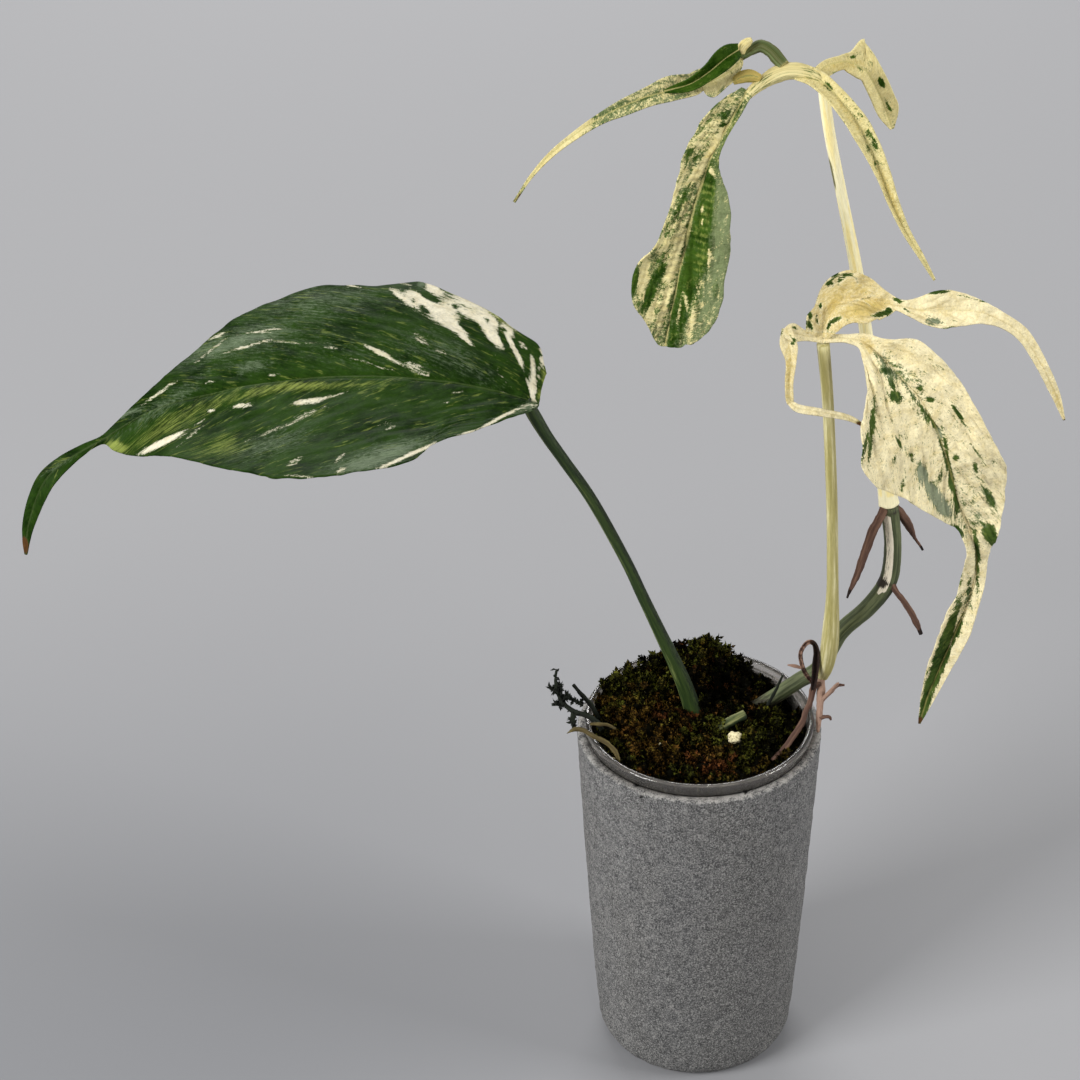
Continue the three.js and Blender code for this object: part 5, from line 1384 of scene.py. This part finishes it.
# The strokes that paint the blades, in the photograph's pixels
GREEN_BLADE_STROKES = [
    # Lime and grey-green haze along the veins; the grey-green at the upper left is partly a painted sheen
    (LIME, 255, 394, 27, 4, -14, 0.46), (LIME, 295, 387, 22, 3.2, -5, 0.5),
    (LIME, 345, 385, 42, 3.4, -3, 0.42), (LIME, 190, 415, 34, 8, -25, 0.36),
    (LIME, 155, 434, 20, 7, -30, 0.32), (LIME, 222, 444, 24, 9, -8, 0.3), (LIME, 230, 452, 12, 6, 5, 0.28),
    (GREY, 224, 347, 40, 9, -15, 0.62), (GREY, 262, 334, 26, 6, -8, 0.5), (GREY, 320, 302, 50, 14, -8, 0.4),
    (GREY, 251, 367, 14, 5, -10, 0.6), (GREY, 391, 453, 34, 7.5, -17, 0.75),
    (GREY, 357, 466, 22, 7, -12, 0.6), (GREY, 272, 445, 32, 9, -20, 0.42), (GREY, 462, 358, 34, 8, 38, 0.26),
    (GREY, 432, 352, 34, 11, 24, 0.24), (GREY, 330, 350, 60, 14, 8, 0.14), (GREY, 165, 405, 40, 6, -34, 0.4),
    # Cream streaks and dashes, from the upper left to the right
    (CREAM, 260, 332, 24, 1.5, -8, 0.62), (CREAM, 247, 347, 27, 1.5, -17, 0.62),
    (CREAM, 217, 337, 11, 1.4, -25, 0.6), (CREAM, 212, 350, 22, 1.6, -38, 0.5),
    (CREAM, 296, 343, 24, 1.3, 3, 0.6), (CREAM, 330, 348, 9, 1.2, 8, 0.5),
    (CREAM, 160, 393, 23, 2, -35, 0.66), (CREAM, 211, 382, 7, 1.5, -8, 0.55),
    (CREAM, 273, 375, 6, 1.6, 0, 0.62), (CREAM, 162, 443.5, 27, 3.3, -27, 0.92),
    (CREAM, 190, 437, 19, 1.5, -38, 0.62), (CREAM, 200, 422, 7, 1.4, -30, 0.6),
    (CREAM, 243, 406, 11, 2.6, -8, 0.72), (CREAM, 211, 411, 4, 1.8, -10, 0.75),
    (CREAM, 280, 428, 31, 1.7, -22, 0.55), (CREAM, 308, 402, 15, 3.2, -8, 0.75),
    (CREAM, 330, 397, 22, 1.8, -13, 0.62), (CREAM, 310, 413, 17, 2, -20, 0.52),
    (CREAM, 382, 354.5, 19, 3, 27, 0.82), (CREAM, 416, 369, 17, 4.6, 25, 0.52),
    (CREAM, 421, 340, 11, 3.4, 40, 0.5), (CREAM, 441, 353, 9, 3, 32, 0.45),
    (CREAM, 363, 362, 15, 1.3, 14, 0.5), (CREAM, 385, 369, 10, 1.3, 12, 0.5),
    (CREAM, 390, 428, 7, 1.8, -25, 0.62), (CREAM, 382, 425, 14, 1.2, -12, 0.42),
    (CREAM, 340, 458, 7, 1.6, -45, 0.7), (CREAM, 295, 462, 9, 3, -25, 0.6),
    (CREAM, 459, 393, 9, 1.4, -3, 0.52), (CREAM, 501, 393, 7, 1.3, 5, 0.5),
    (CREAM, 502, 378, 13, 1.4, 50, 0.42), (CREAM, 445, 402, 5, 2, 0, 0.4),
    (CREAM, 353, 433, 12, 1.4, -10, 0.36), (CREAM, 350, 286, 9, 1.5, 14, 0.7),
    (CREAM, 396, 290, 6, 1.6, 20, 0.5), (CREAM, 405, 284, 9, 2, 20, 0.45),
    # The cream patch at the upper right, and the cream edge that runs down from it
    (CREAM, 400, 297, 12, 2.5, 36, 0.9), (CREAM, 417, 301, 16, 8.6, 28, 0.92),
    (CREAM, 440, 312, 22, 11, 30, 0.92), (CREAM, 434, 289, 12, 6, 28, 0.92),
    (CREAM, 452, 325, 20, 5.6, 37, 0.9), (CREAM, 466, 340, 11, 2.4, 42, 0.85),
    (CREAM, 462, 306, 18, 9, 30, 0.92), (CREAM, 480, 314, 18, 10, 35, 0.92),
    (CREAM, 497, 322, 16, 8, 38, 0.92), (CREAM, 511, 330, 9, 5, 50, 0.9),
    (CREAM, 493, 337, 17, 5.4, 50, 0.92), (CREAM, 509, 341, 12, 3, 62, 0.95),
    (CREAM, 519, 359, 15, 2.6, 64, 0.8), (CREAM, 528, 381, 16, 2.4, 72, 0.8),
    (CREAM, 523, 347, 6, 2.8, 55, 0.9), (CREAM, 532, 366, 14, 3.2, 84, 0.85),
    (CREAM, 533, 390, 13, 4, 88, 0.92), (CREAM, 543, 360, 12, 4, 76, 0.95), (CREAM, 539, 378, 12, 2, 86, 0.6),
    # Deep green left in the patch and beside it
    (DEEP, 411, 281, 9, 3, 5, 0.85), (DEEP, 430, 298, 10, 3, 27, 1), (DEEP, 424, 310, 6, 2.4, 42, 0.9),
    (DEEP, 413, 301, 2.4, 1.5, 40, 0.7), (DEEP, 454, 307, 2.4, 1.8, 40, 0.8),
    (DEEP, 460, 314.5, 2.8, 1.6, 60, 0.75), (DEEP, 464, 327, 6, 2, 40, 0.85),
    (DEEP, 475, 327, 5, 1.9, 62, 0.85), (DEEP, 479, 337, 7, 3, 50, 0.95), (DEEP, 504, 341, 12, 2.6, 66, 1),
    (DEEP, 502, 330, 4, 2.2, 20, 0.9), (DEEP, 518, 337, 6, 2.4, 48, 0.9), (DEEP, 530, 345, 14, 3.4, 48, 1),
    (DEEP, 526, 358, 10, 2.2, 70, 0.9), (DEEP, 526, 373, 9, 1.8, 74, 0.8), (DEEP, 487, 321, 3, 2, 40, 0.6),
    (DEEP, 499, 322, 3, 2.4, 60, 0.7), (DEEP, 440, 288, 3, 1.4, 60, 0.7),
    # Paler greens in the patch and along its edge
    (SAGE, 451, 297, 8, 2.4, 38, 0.5), (GREY, 421, 284, 4, 3, 40, 0.9), (LIME, 470, 309, 12, 3, 20, 0.35),
    (LIME, 500, 320, 18, 2, 36, 0.6), (LIME, 545.5, 385, 13, 3.2, 84, 1), (LIME, 542, 398, 7, 4, 70, 0.9),
    (CREAM, 527, 407.5, 13, 3.6, -18, 0.7), (GREY, 527, 408, 12, 4, -18, 0.6),
    # The cream line along the lower edge
    (CREAM, 303, 477, 26, 1.3, 3, 0.55), (CREAM, 341, 471, 6, 2.4, -30, 0.7),
    (CREAM, 362, 475.5, 16, 1.8, -4, 0.8), (CREAM, 391, 464, 18, 1.9, -24, 0.85),
    (CREAM, 417, 452, 16, 1.9, -24, 0.9), (CREAM, 441, 442.5, 16, 1.9, -20, 0.9),
    (CREAM, 468, 433.5, 16, 1.6, -18, 0.8), (CREAM, 490, 424, 14, 1.8, -30, 0.85),
    (CREAM, 508, 414, 11, 1.8, -25, 0.8),
    # The left end and its dry tip
    (TAN, 116.7, 447, 8, 5, 15, 0.7), (LIME, 116.7, 447, 9, 5, 15, 0.8),
    (GREY, 128, 413.5, 12, 2.4, -20, 0.75), (DRY, 25, 545, 9, 4, 85, 0.9), (GREY, 60, 465, 14, 2, -30, 0.4),
]
BROAD_STROKES = [
    # Flecks and mottles
    (FLECKED, 893, 430, 50, 26, 75, 0.5), (FLECKED, 962, 470, 40, 20, 70, 0.55),
    (MOTTLE, 962, 520, 20, 12, 75, 0.5), (MOTTLE, 885, 362, 14, 4, 55, 0.5),
    (FLECKED, 925, 385, 34, 12, 50, 0.6), (TAN, 985, 420, 40, 7, 65, 0.3),
    (MOTTLE, 985, 500, 26, 12, 80, 0.4), (SAGE, 908, 372, 14, 4, 60, 0.4),
    # Deep green along the veins and in spots
    (DEEP, 884, 364, 24, 1.2, 48, 0.5), (DEEP, 914, 398, 22, 1.5, 53, 0.75),
    (DEEP, 933, 423, 14, 1.5, 62, 0.9), (DEEP, 944, 456, 26, 1.5, 75, 0.85),
    (DEEP, 955, 496, 18, 1.5, 74, 0.75), (MOTTLE, 900, 376, 34, 7, 50, 0.45), (TAN, 868, 345, 10, 6, 60, 0.7),
    (TAN, 900, 352, 26, 8, 30, 0.35), (MOTTLE, 888, 373, 11, 7, 60, 0.8), (DEEP, 896, 397, 6.5, 5, 20, 1),
    (DEEP, 892, 385, 5, 1.6, 65, 0.8), (DEEP, 886, 371, 5, 2.4, 10, 0.8),
    (DEEP, 930, 399, 3.4, 2.6, 20, 0.85), (DEEP, 920, 388, 2.6, 2, 30, 0.85),
    (DEEP, 872, 422, 22, 2.4, 94, 0.85), (DEEP, 864, 448, 14, 1.8, 100, 0.75),
    (DEEP, 869, 455, 10, 1.6, 95, 0.6), (DEEP, 959, 415, 12, 1.8, 56, 0.85),
    (DEEP, 925, 416, 6, 1.8, 70, 0.7), (DEEP, 899, 444, 6, 1.7, 60, 0.75), (DEEP, 903, 484, 8, 2, 106, 0.7),
    (DEEP, 894, 459, 8, 1.7, 108, 0.55), (SLATE, 922, 474, 11, 5, 82, 0.95),
    (SLATE, 936, 497, 17, 7, 55, 0.95), (SLATE, 944, 510, 8, 6, 30, 0.8), (DEEP, 940, 477, 6, 2, 100, 0.75),
    (DEEP, 949, 464, 26, 1.8, 80, 0.8), (SLATE, 939, 434, 6, 3, 70, 0.8), (DEEP, 951, 484, 7, 2.6, 80, 0.85),
    (DEEP, 975, 450, 9, 1.3, 52, 0.6), (DEEP, 975, 467, 5, 1.9, 80, 0.8), (DEEP, 989, 497, 12, 3.2, 60, 0.72),
    (DEEP, 956, 458, 3, 2.4, 20, 0.8), (DEEP, 993, 461, 3, 1.8, 30, 0.7), (DEEP, 911, 455, 3, 2.2, 20, 0.8),
    (DEEP, 912, 460, 2.2, 2, 20, 0.7),
    # The lower end and its long tail
    (DEEP, 957, 530, 9, 3, 46, 0.85), (DEEP, 955, 505, 10, 1.6, 82, 0.7), (DEEP, 977, 546, 16, 2, 80, 0.8),
    (DEEP, 990, 534, 11, 6.5, 70, 1), (MOTTLE, 975, 512, 16, 5, 70, 0.5), (DEEP, 977, 566, 24, 2, 88, 0.85),
    (DEEP, 969, 588, 9, 2.4, 95, 0.8), (DEEP, 962, 568, 20, 1.4, 96, 0.55),
    (MOTTLE, 968, 600, 12, 8, 110, 0.7), (DEEP, 943, 652, 52, 7.5, 109, 1), (DEEP, 926, 700, 24, 4, 103, 1),
    (CREAM, 956, 626, 26, 1.4, 106, 0.8), (DEEP, 957, 634, 15, 3.4, 106, 1),
    (DEEP, 946, 659, 12, 3, 110, 0.75), (CREAM, 950, 663, 44, 3, 110, 0.6),
    (CREAM, 937, 640, 50, 1.3, 112, 0.6), (DRY, 920, 720, 4, 3, 100, 0.8),
]
FOLDED_STROKES = [
    # Cream over the wing, and tan in the fold, where it is a painted shade in the pocket
    (CREAM, 965, 308, 70, 26, 6, 0.6), (CREAM, 1040, 365, 50, 16, 62, 0.4), (TAN, 868, 309, 20, 7, -16, 0.9),
    (TAN, 836, 300, 16, 5, -62, 0.7), (TAN, 850, 312, 16, 4, -30, 0.5), (TAN, 858, 288, 12, 4, 30, 0.4),
    # Dark spots along the edges of the fold
    (DEEP, 829.5, 283.5, 4.2, 3.4, 20, 1), (CREAM, 830.5, 284.5, 1.2, 0.9, 0, 0.9),
    (DEEP, 836, 273.5, 9, 2.2, -48, 1), (DEEP, 841.5, 278.5, 6.5, 2.6, -52, 1),
    (CREAM, 842.5, 276.5, 2.6, 0.9, -50, 0.9), (DEEP, 848.5, 274.8, 5, 1.5, -5, 0.95),
    (DEEP, 856, 278, 1.6, 1, 0, 0.9), (DEEP, 857, 281.5, 1.2, 1, 0, 0.9), (DEEP, 820, 306.5, 3, 1.8, 80, 0.9),
    (DEEP, 809.5, 315, 3.2, 2.2, 70, 1), (DEEP, 809, 325, 5, 2.2, 60, 1), (DEEP, 817, 321, 3, 1.6, 80, 0.7),
    (DEEP, 816.5, 315.5, 1.2, 1, 0, 0.8), (DEEP, 836, 320, 6, 2.2, -22, 1),
    (DEEP, 829.5, 325.5, 4.6, 1.6, -65, 0.95), (DEEP, 882, 314.5, 9, 2.8, -14, 1),
    (DEEP, 888, 311.5, 4, 2.8, -60, 1),
    # Brown creases: a painted shade along the folds
    (DRY, 853, 302, 7, 0.8, -28, 0.42), (DRY, 866, 298, 11, 0.9, -20, 0.5),
    (DRY, 867, 304.5, 6, 0.8, 42, 0.42), (DRY, 824, 331.5, 18, 0.7, 2, 0.45),
    # The wing and its tip
    (DEEP, 897.5, 300.5, 4.4, 2, 25, 1), (DEEP, 906, 310, 5, 1.5, 40, 0.7), (DEEP, 938, 292, 10, 2, -6, 0.95),
    (SLATE, 934, 322, 10, 4, 5, 0.75), (DEEP, 952, 321, 4, 1.3, 5, 0.6), (FLECKED, 972, 308, 24, 6, 12, 0.6),
    (DEEP, 975, 299, 22, 1.2, 16, 0.5), (DEEP, 950, 328, 16, 1.2, -4, 0.6), (TAN, 1030, 365, 16, 3, 62, 0.4),
    (DRY, 1065, 423, 4, 3, 60, 1), (TAN, 1055, 395, 14, 3, 66, 0.4),
]
TONGUE_STROKES = [
    (FLECKED, 790, 340, 12, 10, 80, 0.5), (DEEP, 794, 327.5, 2.2, 1.4, 40, 0.9),
    (DEEP, 794.5, 339.5, 2, 1.6, 40, 0.9), (DEEP, 792.5, 343.5, 1.6, 1.2, 40, 0.8),
    (DRY, 781, 333, 3, 1.6, 90, 0.5), (TAN, 788, 372, 22, 2.2, 92, 0.6), (DRY, 862, 425, 6, 3, 25, 1),
]
HANGING_STROKES = [
    # Haze, and the deep green heart of the lobe
    (FLECKED, 706, 138, 56, 20, 118, 0.95), (MOTTLE, 690, 176, 18, 8, 110, 0.8),
    (MOTTLE, 681, 208, 30, 9, 112, 0.9), (FLECKED, 672, 250, 42, 13, 106, 0.95),
    (FLECKED, 654, 318, 30, 18, 100, 0.85), (GREY, 723, 235, 74, 9, 93, 0.8),
    (SAGE, 706, 305, 42, 12, 102, 0.8), (DEEP, 707, 200, 34, 7, 96, 1), (DEEP, 698, 246, 42, 11, 99, 1),
    (DEEP, 686, 290, 28, 10, 102, 0.95), (DEEP, 678, 322, 26, 8, 100, 0.7),
    # Its upper end
    (DEEP, 733, 118, 22, 3, 122, 0.45), (LIME, 727, 142, 24, 3, 112, 0.6), (TAN, 708, 155, 26, 3, 122, 0.7),
    (CREAM, 698, 171, 15, 4, 126, 0.8), (CREAM, 718, 136, 14, 2.4, 122, 0.8),
    (DEEP, 725, 114.5, 4.4, 3, -50, 0.85), (FLECKED, 725, 114, 1.6, 1, -50, 0.9),
    (DEEP, 723, 124.5, 3.6, 1.8, -30, 0.85), (DEEP, 690, 151, 4, 2.4, -20, 0.65),
    (DEEP, 695, 158, 4, 2, -30, 0.55),
    # Streaks and spots further down
    (DEEP, 680, 206, 16, 2.2, 118, 0.6), (DEEP, 687, 190, 10, 2, 118, 0.5),
    (CREAM, 681, 180, 16, 1, 112, 0.8), (CREAM, 663, 218, 26, 1.2, 114, 0.85),
    (CREAM, 646, 255, 12, 1.4, 135, 0.8), (CREAM, 679, 242, 13, 3, 100, 0.62),
    (CREAM, 671, 268, 16, 4.6, 100, 0.7), (CREAM, 643, 276, 17, 4.6, 98, 0.9),
    (DEEP, 634.5, 280, 15, 3, 100, 0.9), (DEEP, 656, 278, 18, 4.6, 112, 0.62),
    (DEEP, 649, 298, 13, 5, 108, 0.8), (DEEP, 662, 270, 12, 3, 120, 0.5), (CREAM, 650, 316, 14, 4, 104, 0.6),
    (CREAM, 664, 306, 18, 3, 104, 0.7), (DEEP, 673, 338, 12, 3.4, 100, 0.85),
    (CREAM, 686, 300, 12, 1.8, 80, 0.75), (CREAM, 692, 320, 18, 2.4, 96, 0.6),
    (MOTTLE, 652, 332, 14, 8, 70, 0.7), (CREAM, 680, 308, 14, 1.6, 98, 0.6),
    (CREAM, 709, 258, 12, 1.4, 92, 0.6), (CREAM, 702.5, 209, 4, 1.8, 88, 0.9),
    (CREAM, 702.5, 222, 3.4, 1.6, 90, 0.8), (CREAM, 712, 172, 4, 2, 60, 0.9),
    (DEEP, 702, 262, 9, 4, 130, 0.8), (DEEP, 716, 290, 9, 3, 100, 0.4), (FLECKED, 697, 300, 26, 4, 100, 0.5),
]
LADDER_STROKES = [(LIME, 709 - 0.13 * (y - 190), y, 6, 1.4, 18, 0.6) for y in range(186, 275, 7)]
RIGHT_STROKES = [
    (DEEP, 829, 87, 6, 3, 50, 0.95), (TAN, 850, 118, 20, 3, 52, 0.6), (DEEP, 868.5, 133, 4, 2.4, 60, 0.85),
    (DEEP, 875, 143, 6, 2.8, 66, 0.95), (DEEP, 868.5, 149, 4, 2.4, 70, 0.8),
    (MOTTLE, 872, 152, 12, 4, 66, 0.6), (DEEP, 876, 163, 4, 2, 60, 0.6), (TAN, 890, 195, 34, 3, 68, 0.6),
    (FLECKED, 862, 125, 26, 10, 55, 0.5),
]
BACK_STROKES = [
    (TAN, 845, 66, 20, 5, -10, 0.5), (DEEP, 881.5, 82, 5.5, 3, 60, 0.95), (DEEP, 888, 105, 6, 1.6, 60, 0.7),
    (DEEP, 838, 78, 6, 4, 40, 0.7), (DEEP, 854, 56, 6, 1.6, -20, 0.5), (MOTTLE, 893, 120, 8, 2, 70, 0.4),
    (DEEP, 860, 69, 5, 1.5, 30, 0.5),
]
LEFT_STROKES = [
    (MOTTLE, 585, 125, 40, 12, -32, 0.9), (CREAM, 560, 145, 40, 10, -42, 0.9),
    (TAN, 545, 160, 30, 5, -48, 0.5), (DEEP, 640, 100, 32, 1.8, -20, 0.5), (CREAM, 715, 86, 24, 4, -24, 0.9),
    (CREAM, 722, 78, 8, 6, -20, 0.9), (DRY, 517, 199, 10, 3, -55, 0.5),
]

KNOB = ([(10.4, 9, 403.4), (11, 9.2, 405.3), (12.6, 9.4, 406.9), (13.8, 9.4, 407.7)], [1.3, 1.6, 1.4, 0.8])
BULGE = ([(7.7, 5, 395.3), (10, 5.4, 396.4), (12.9, 5.8, 396.9), (16.4, 6, 396)], [1, 1.9, 2.1, 1.4])

# How each lobe is made, apart from its stations, its strokes and its seed
GREEN_MAKE = {"curl": (-14, 12), "ripple": (1.1, 4), "per": 13, "columns": 76, "slope": (2.7, 2.0),
              "quilt": (4.6, 0.16), "groove": 0.5, "ground": (0.03, 0.02, 0.02, 0), "wobble": 0.5,
              "frill": 0.015}
BROAD_MAKE = {"curl": (6, 6), "ripple": (1.5, 5), "per": 14, "columns": 46, "slope": 2.4, "quilt": (5, 0.75),
              "groove": 0.6, "ground": (0.8, 0.1, 0.2, 0), "wobble": 2.0}
FOLDED_MAKE = {"curl": (10, 8), "per": 14, "columns": 18, "slope": 2.6, "quilt": (3.4, 0.45), "groove": 0.3,
               "ground": (0.84, 0, 0.54, 0), "wobble": 2.6}
HANGING_MAKE = {"curl": (10, 10), "ripple": (1, 4), "per": 20, "columns": 32, "slope": 6.0,
                "quilt": (2.4, 0.4), "groove": 0.6, "ground": MOTTLE, "wobble": 1.7, "ladder": (2.7, 0.2)}
TOP_MAKE = {"per": 14, "columns": 12, "slope": 3.5, "quilt": (2.4, 0.12), "groove": 0.3, "wobble": 0.5}
HARD_EDGED = {"Solid": 0.0, "Low": 0.4, "High": 0.6}


def green_leaf():
    skin = leaf_skin("green blade", 0.46, 0.12)
    under = leaf_skin("green underside", 0.55, 0.1, Deep=colour("33492a"), Fresh=colour("425a33"),
                      Cream=colour("d6d2a8"), Grey=colour("7c8868"), Rib=colour("7a8a56"))
    blade = lobe(GREEN_BLADE, strokes=GREEN_BLADE_STROKES, seed=1.0, **GREEN_MAKE)
    leaf("green_leaf", [blade], "leaf_green", skin, under)


def cream_leaf(under):
    skin = leaf_skin("cream blade", 0.46, 0.16, (0.9, 1.3), Cream=colour("efe3b9"), Tan=colour("cbb46c"),
                     Deep=colour("16300e"), Fresh=colour("566a2e"), Rib=colour("bba868"),
                     Grey=colour("8d9478"), Crinkle=10.0, **HARD_EDGED)
    leaf("cream_leaf", [
        lobe(BROAD_LOBE, strokes=BROAD_STROKES, seed=2.0, **BROAD_MAKE),
        lobe(FOLDED_LOBE, strokes=FOLDED_STROKES, seed=3.0, **FOLDED_MAKE),
        lobe(TONGUE_ARM, ground=(0.85, 0, 0.35, 0), strokes=TONGUE_STROKES, seed=4.0),
        lobe(TONGUE_FALL, ground=(0.85, 0, 0.5, 0), strokes=TONGUE_STROKES, seed=5.0),
        lobe(TONGUE_TIP, columns=4, ground=CREAM, strokes=TONGUE_STROKES, seed=6.0),
    ], "leaf_cream", skin, under)


def top_leaf(under):
    skin = leaf_skin("mottled blade", 0.46, 0.16, (0.6, 2.0), Grey=colour("77825a"), Deep=colour("1a3505"),
                     Fresh=colour("44601c"), Cream=colour("e4d8a0"), Tan=colour("c2ac60"),
                     Rib=colour("c2b878"), Crinkle=8.0,
                     **{"Rib Share": 0.75, "Solid": 0.1, "Low": 0.34, "High": 0.72})
    leaf("top_leaf", [
        lobe(RIGHT_LOBE, (24, 24), ground=(0.82, 0.05, 0.35, 0), strokes=RIGHT_STROKES, seed=7.0, **TOP_MAKE),
        lobe(BACK_LOBE, (16, 16), ground=(0.84, 0.05, 0.3, 0), strokes=BACK_STROKES, seed=8.0, **TOP_MAKE),
        lobe(HANGING_LOBE, strokes=HANGING_STROKES + LADDER_STROKES, seed=9.0, **HANGING_MAKE),
        lobe(LEFT_LOBE, (16, 16), ground=(0.52, 0.7, 0.2, 0), strokes=LEFT_STROKES, seed=10.0, **TOP_MAKE),
        lobe(LEFT_TROUGH, (10, 10), ground=DEEP, seed=11.0, **TOP_MAKE),
    ], "leaf_mottled", skin, under)
    rib = []
    for (points, radii), paint in ((RACHIS, (0.78, 0.1, 0.3)), (LEFT_STALK, (0.28, 0.55, 0.2, 0.45)),
                                   (KNOB, (0.85, 0, 0.4)), (BULGE, (0.8, 0.4, 1))):
        rib.append(marked(tube(points, radii, sides=14, per=6, roughness=0.16), *paint))
    dress(merged("top_leaf_rib", rib), [], "leaf_mottled", skin)


def leaves():
    pale_under = leaf_skin("cream underside", 0.55, 0.1, Deep=colour("4a6236"), Fresh=colour("5c7444"),
                           Cream=colour("d8cd9c"), Crinkle=5.0, **HARD_EDGED)
    green_leaf()
    cream_leaf(pale_under)
    top_leaf(pale_under)


# The set

# The lamps: name, place, what they look at, size and power
LAMPS = [
    ("left_softbox", (-1.7, -1.1, 1.2), (0, 0, 0.15), (1, 1), 54),
    ("right_softbox", (1.9, -0.5, 1.0), (0, 0, 0.15), (0.8, 0.8), 26),
    ("back_softbox", (-0.1, 1.9, 1.5), (0, 1.2, 0), (1.6, 0.8), 30),
    ("left_glint", (-0.57, -0.85, 1.2), (0, 0, 0.15), (0.12, 0.12), 0.6),
    ("right_glint", (0.12, -1, 1.2), (0, 0, 0.15), (0.12, 0.12), 0.6),
]
SKY_STRENGTH = 0.33
FLOOR_SIZE = 6


def softbox(name, place, aim, size, power):
    light = bpy.data.lights.new(name, "AREA")
    light.shape = "RECTANGLE"
    light.size, light.size_y = size
    light.energy = power
    lamp = bpy.data.objects.new(name, light)
    bpy.context.scene.collection.objects.link(lamp)
    away = unit(np.array(place, float) - np.array(aim, float))
    side = unit(np.cross((0, 0, 1.0), away))
    turn = Matrix((side, np.cross(away, side), away)).transposed()
    lamp.matrix_world = Matrix.Translation(place) @ turn.to_4x4()


def floor_and_light():
    bpy.ops.mesh.primitive_grid_add(x_subdivisions=4, y_subdivisions=4, size=FLOOR_SIZE)
    floor = bpy.context.active_object
    floor.name = "floor"
    floor.data.materials.append(plain_floor())
    floor.select_set(False)
    for lamp in LAMPS:
        softbox(*lamp)
    world = bpy.data.worlds.new("studio")
    world.use_nodes = True
    world.node_tree.nodes["Background"].inputs["Color"].default_value = (1, 1, 1, 1)
    world.node_tree.nodes["Background"].inputs["Strength"].default_value = SKY_STRENGTH
    bpy.context.scene.world = world
    bpy.context.scene.view_settings.view_transform = "Standard"


def photo_camera():
    camera = bpy.data.cameras.new("photo_camera")
    camera.sensor_width = SENSOR
    camera.lens = SENSOR * FOCAL / PHOTO
    camera.clip_end = 50
    seat = bpy.data.objects.new("photo_camera", camera)
    bpy.context.scene.collection.objects.link(seat)
    seat.matrix_world = Matrix.Translation(EYE * MM) @ Matrix((RIGHT, UP, -AHEAD)).transposed().to_4x4()
    bpy.context.scene.camera = seat


floor_and_light()
photo_camera()
cover_pot(stone_finish())
nursery_pot(clear_plastic())
moss_bed(moss_finish())
green_petiole()
cream_petiole()
top_petiole()
vine()
root_bark = stem_skin("aerial root", ("4f372d", "725545", "a08270", "1c110d"), 0.8, 75, 0.6)
wilted = stem_skin("wilted stems", ("10140c", "1c2416", "3a4428", "070906"), 0.85, 60, 0.3)
aerial_roots(root_bark)
rim_roots(root_bark)
dried_husk()
cut_stub()
litter(wilted)
sprig(wilted)
perlite()
leaves()
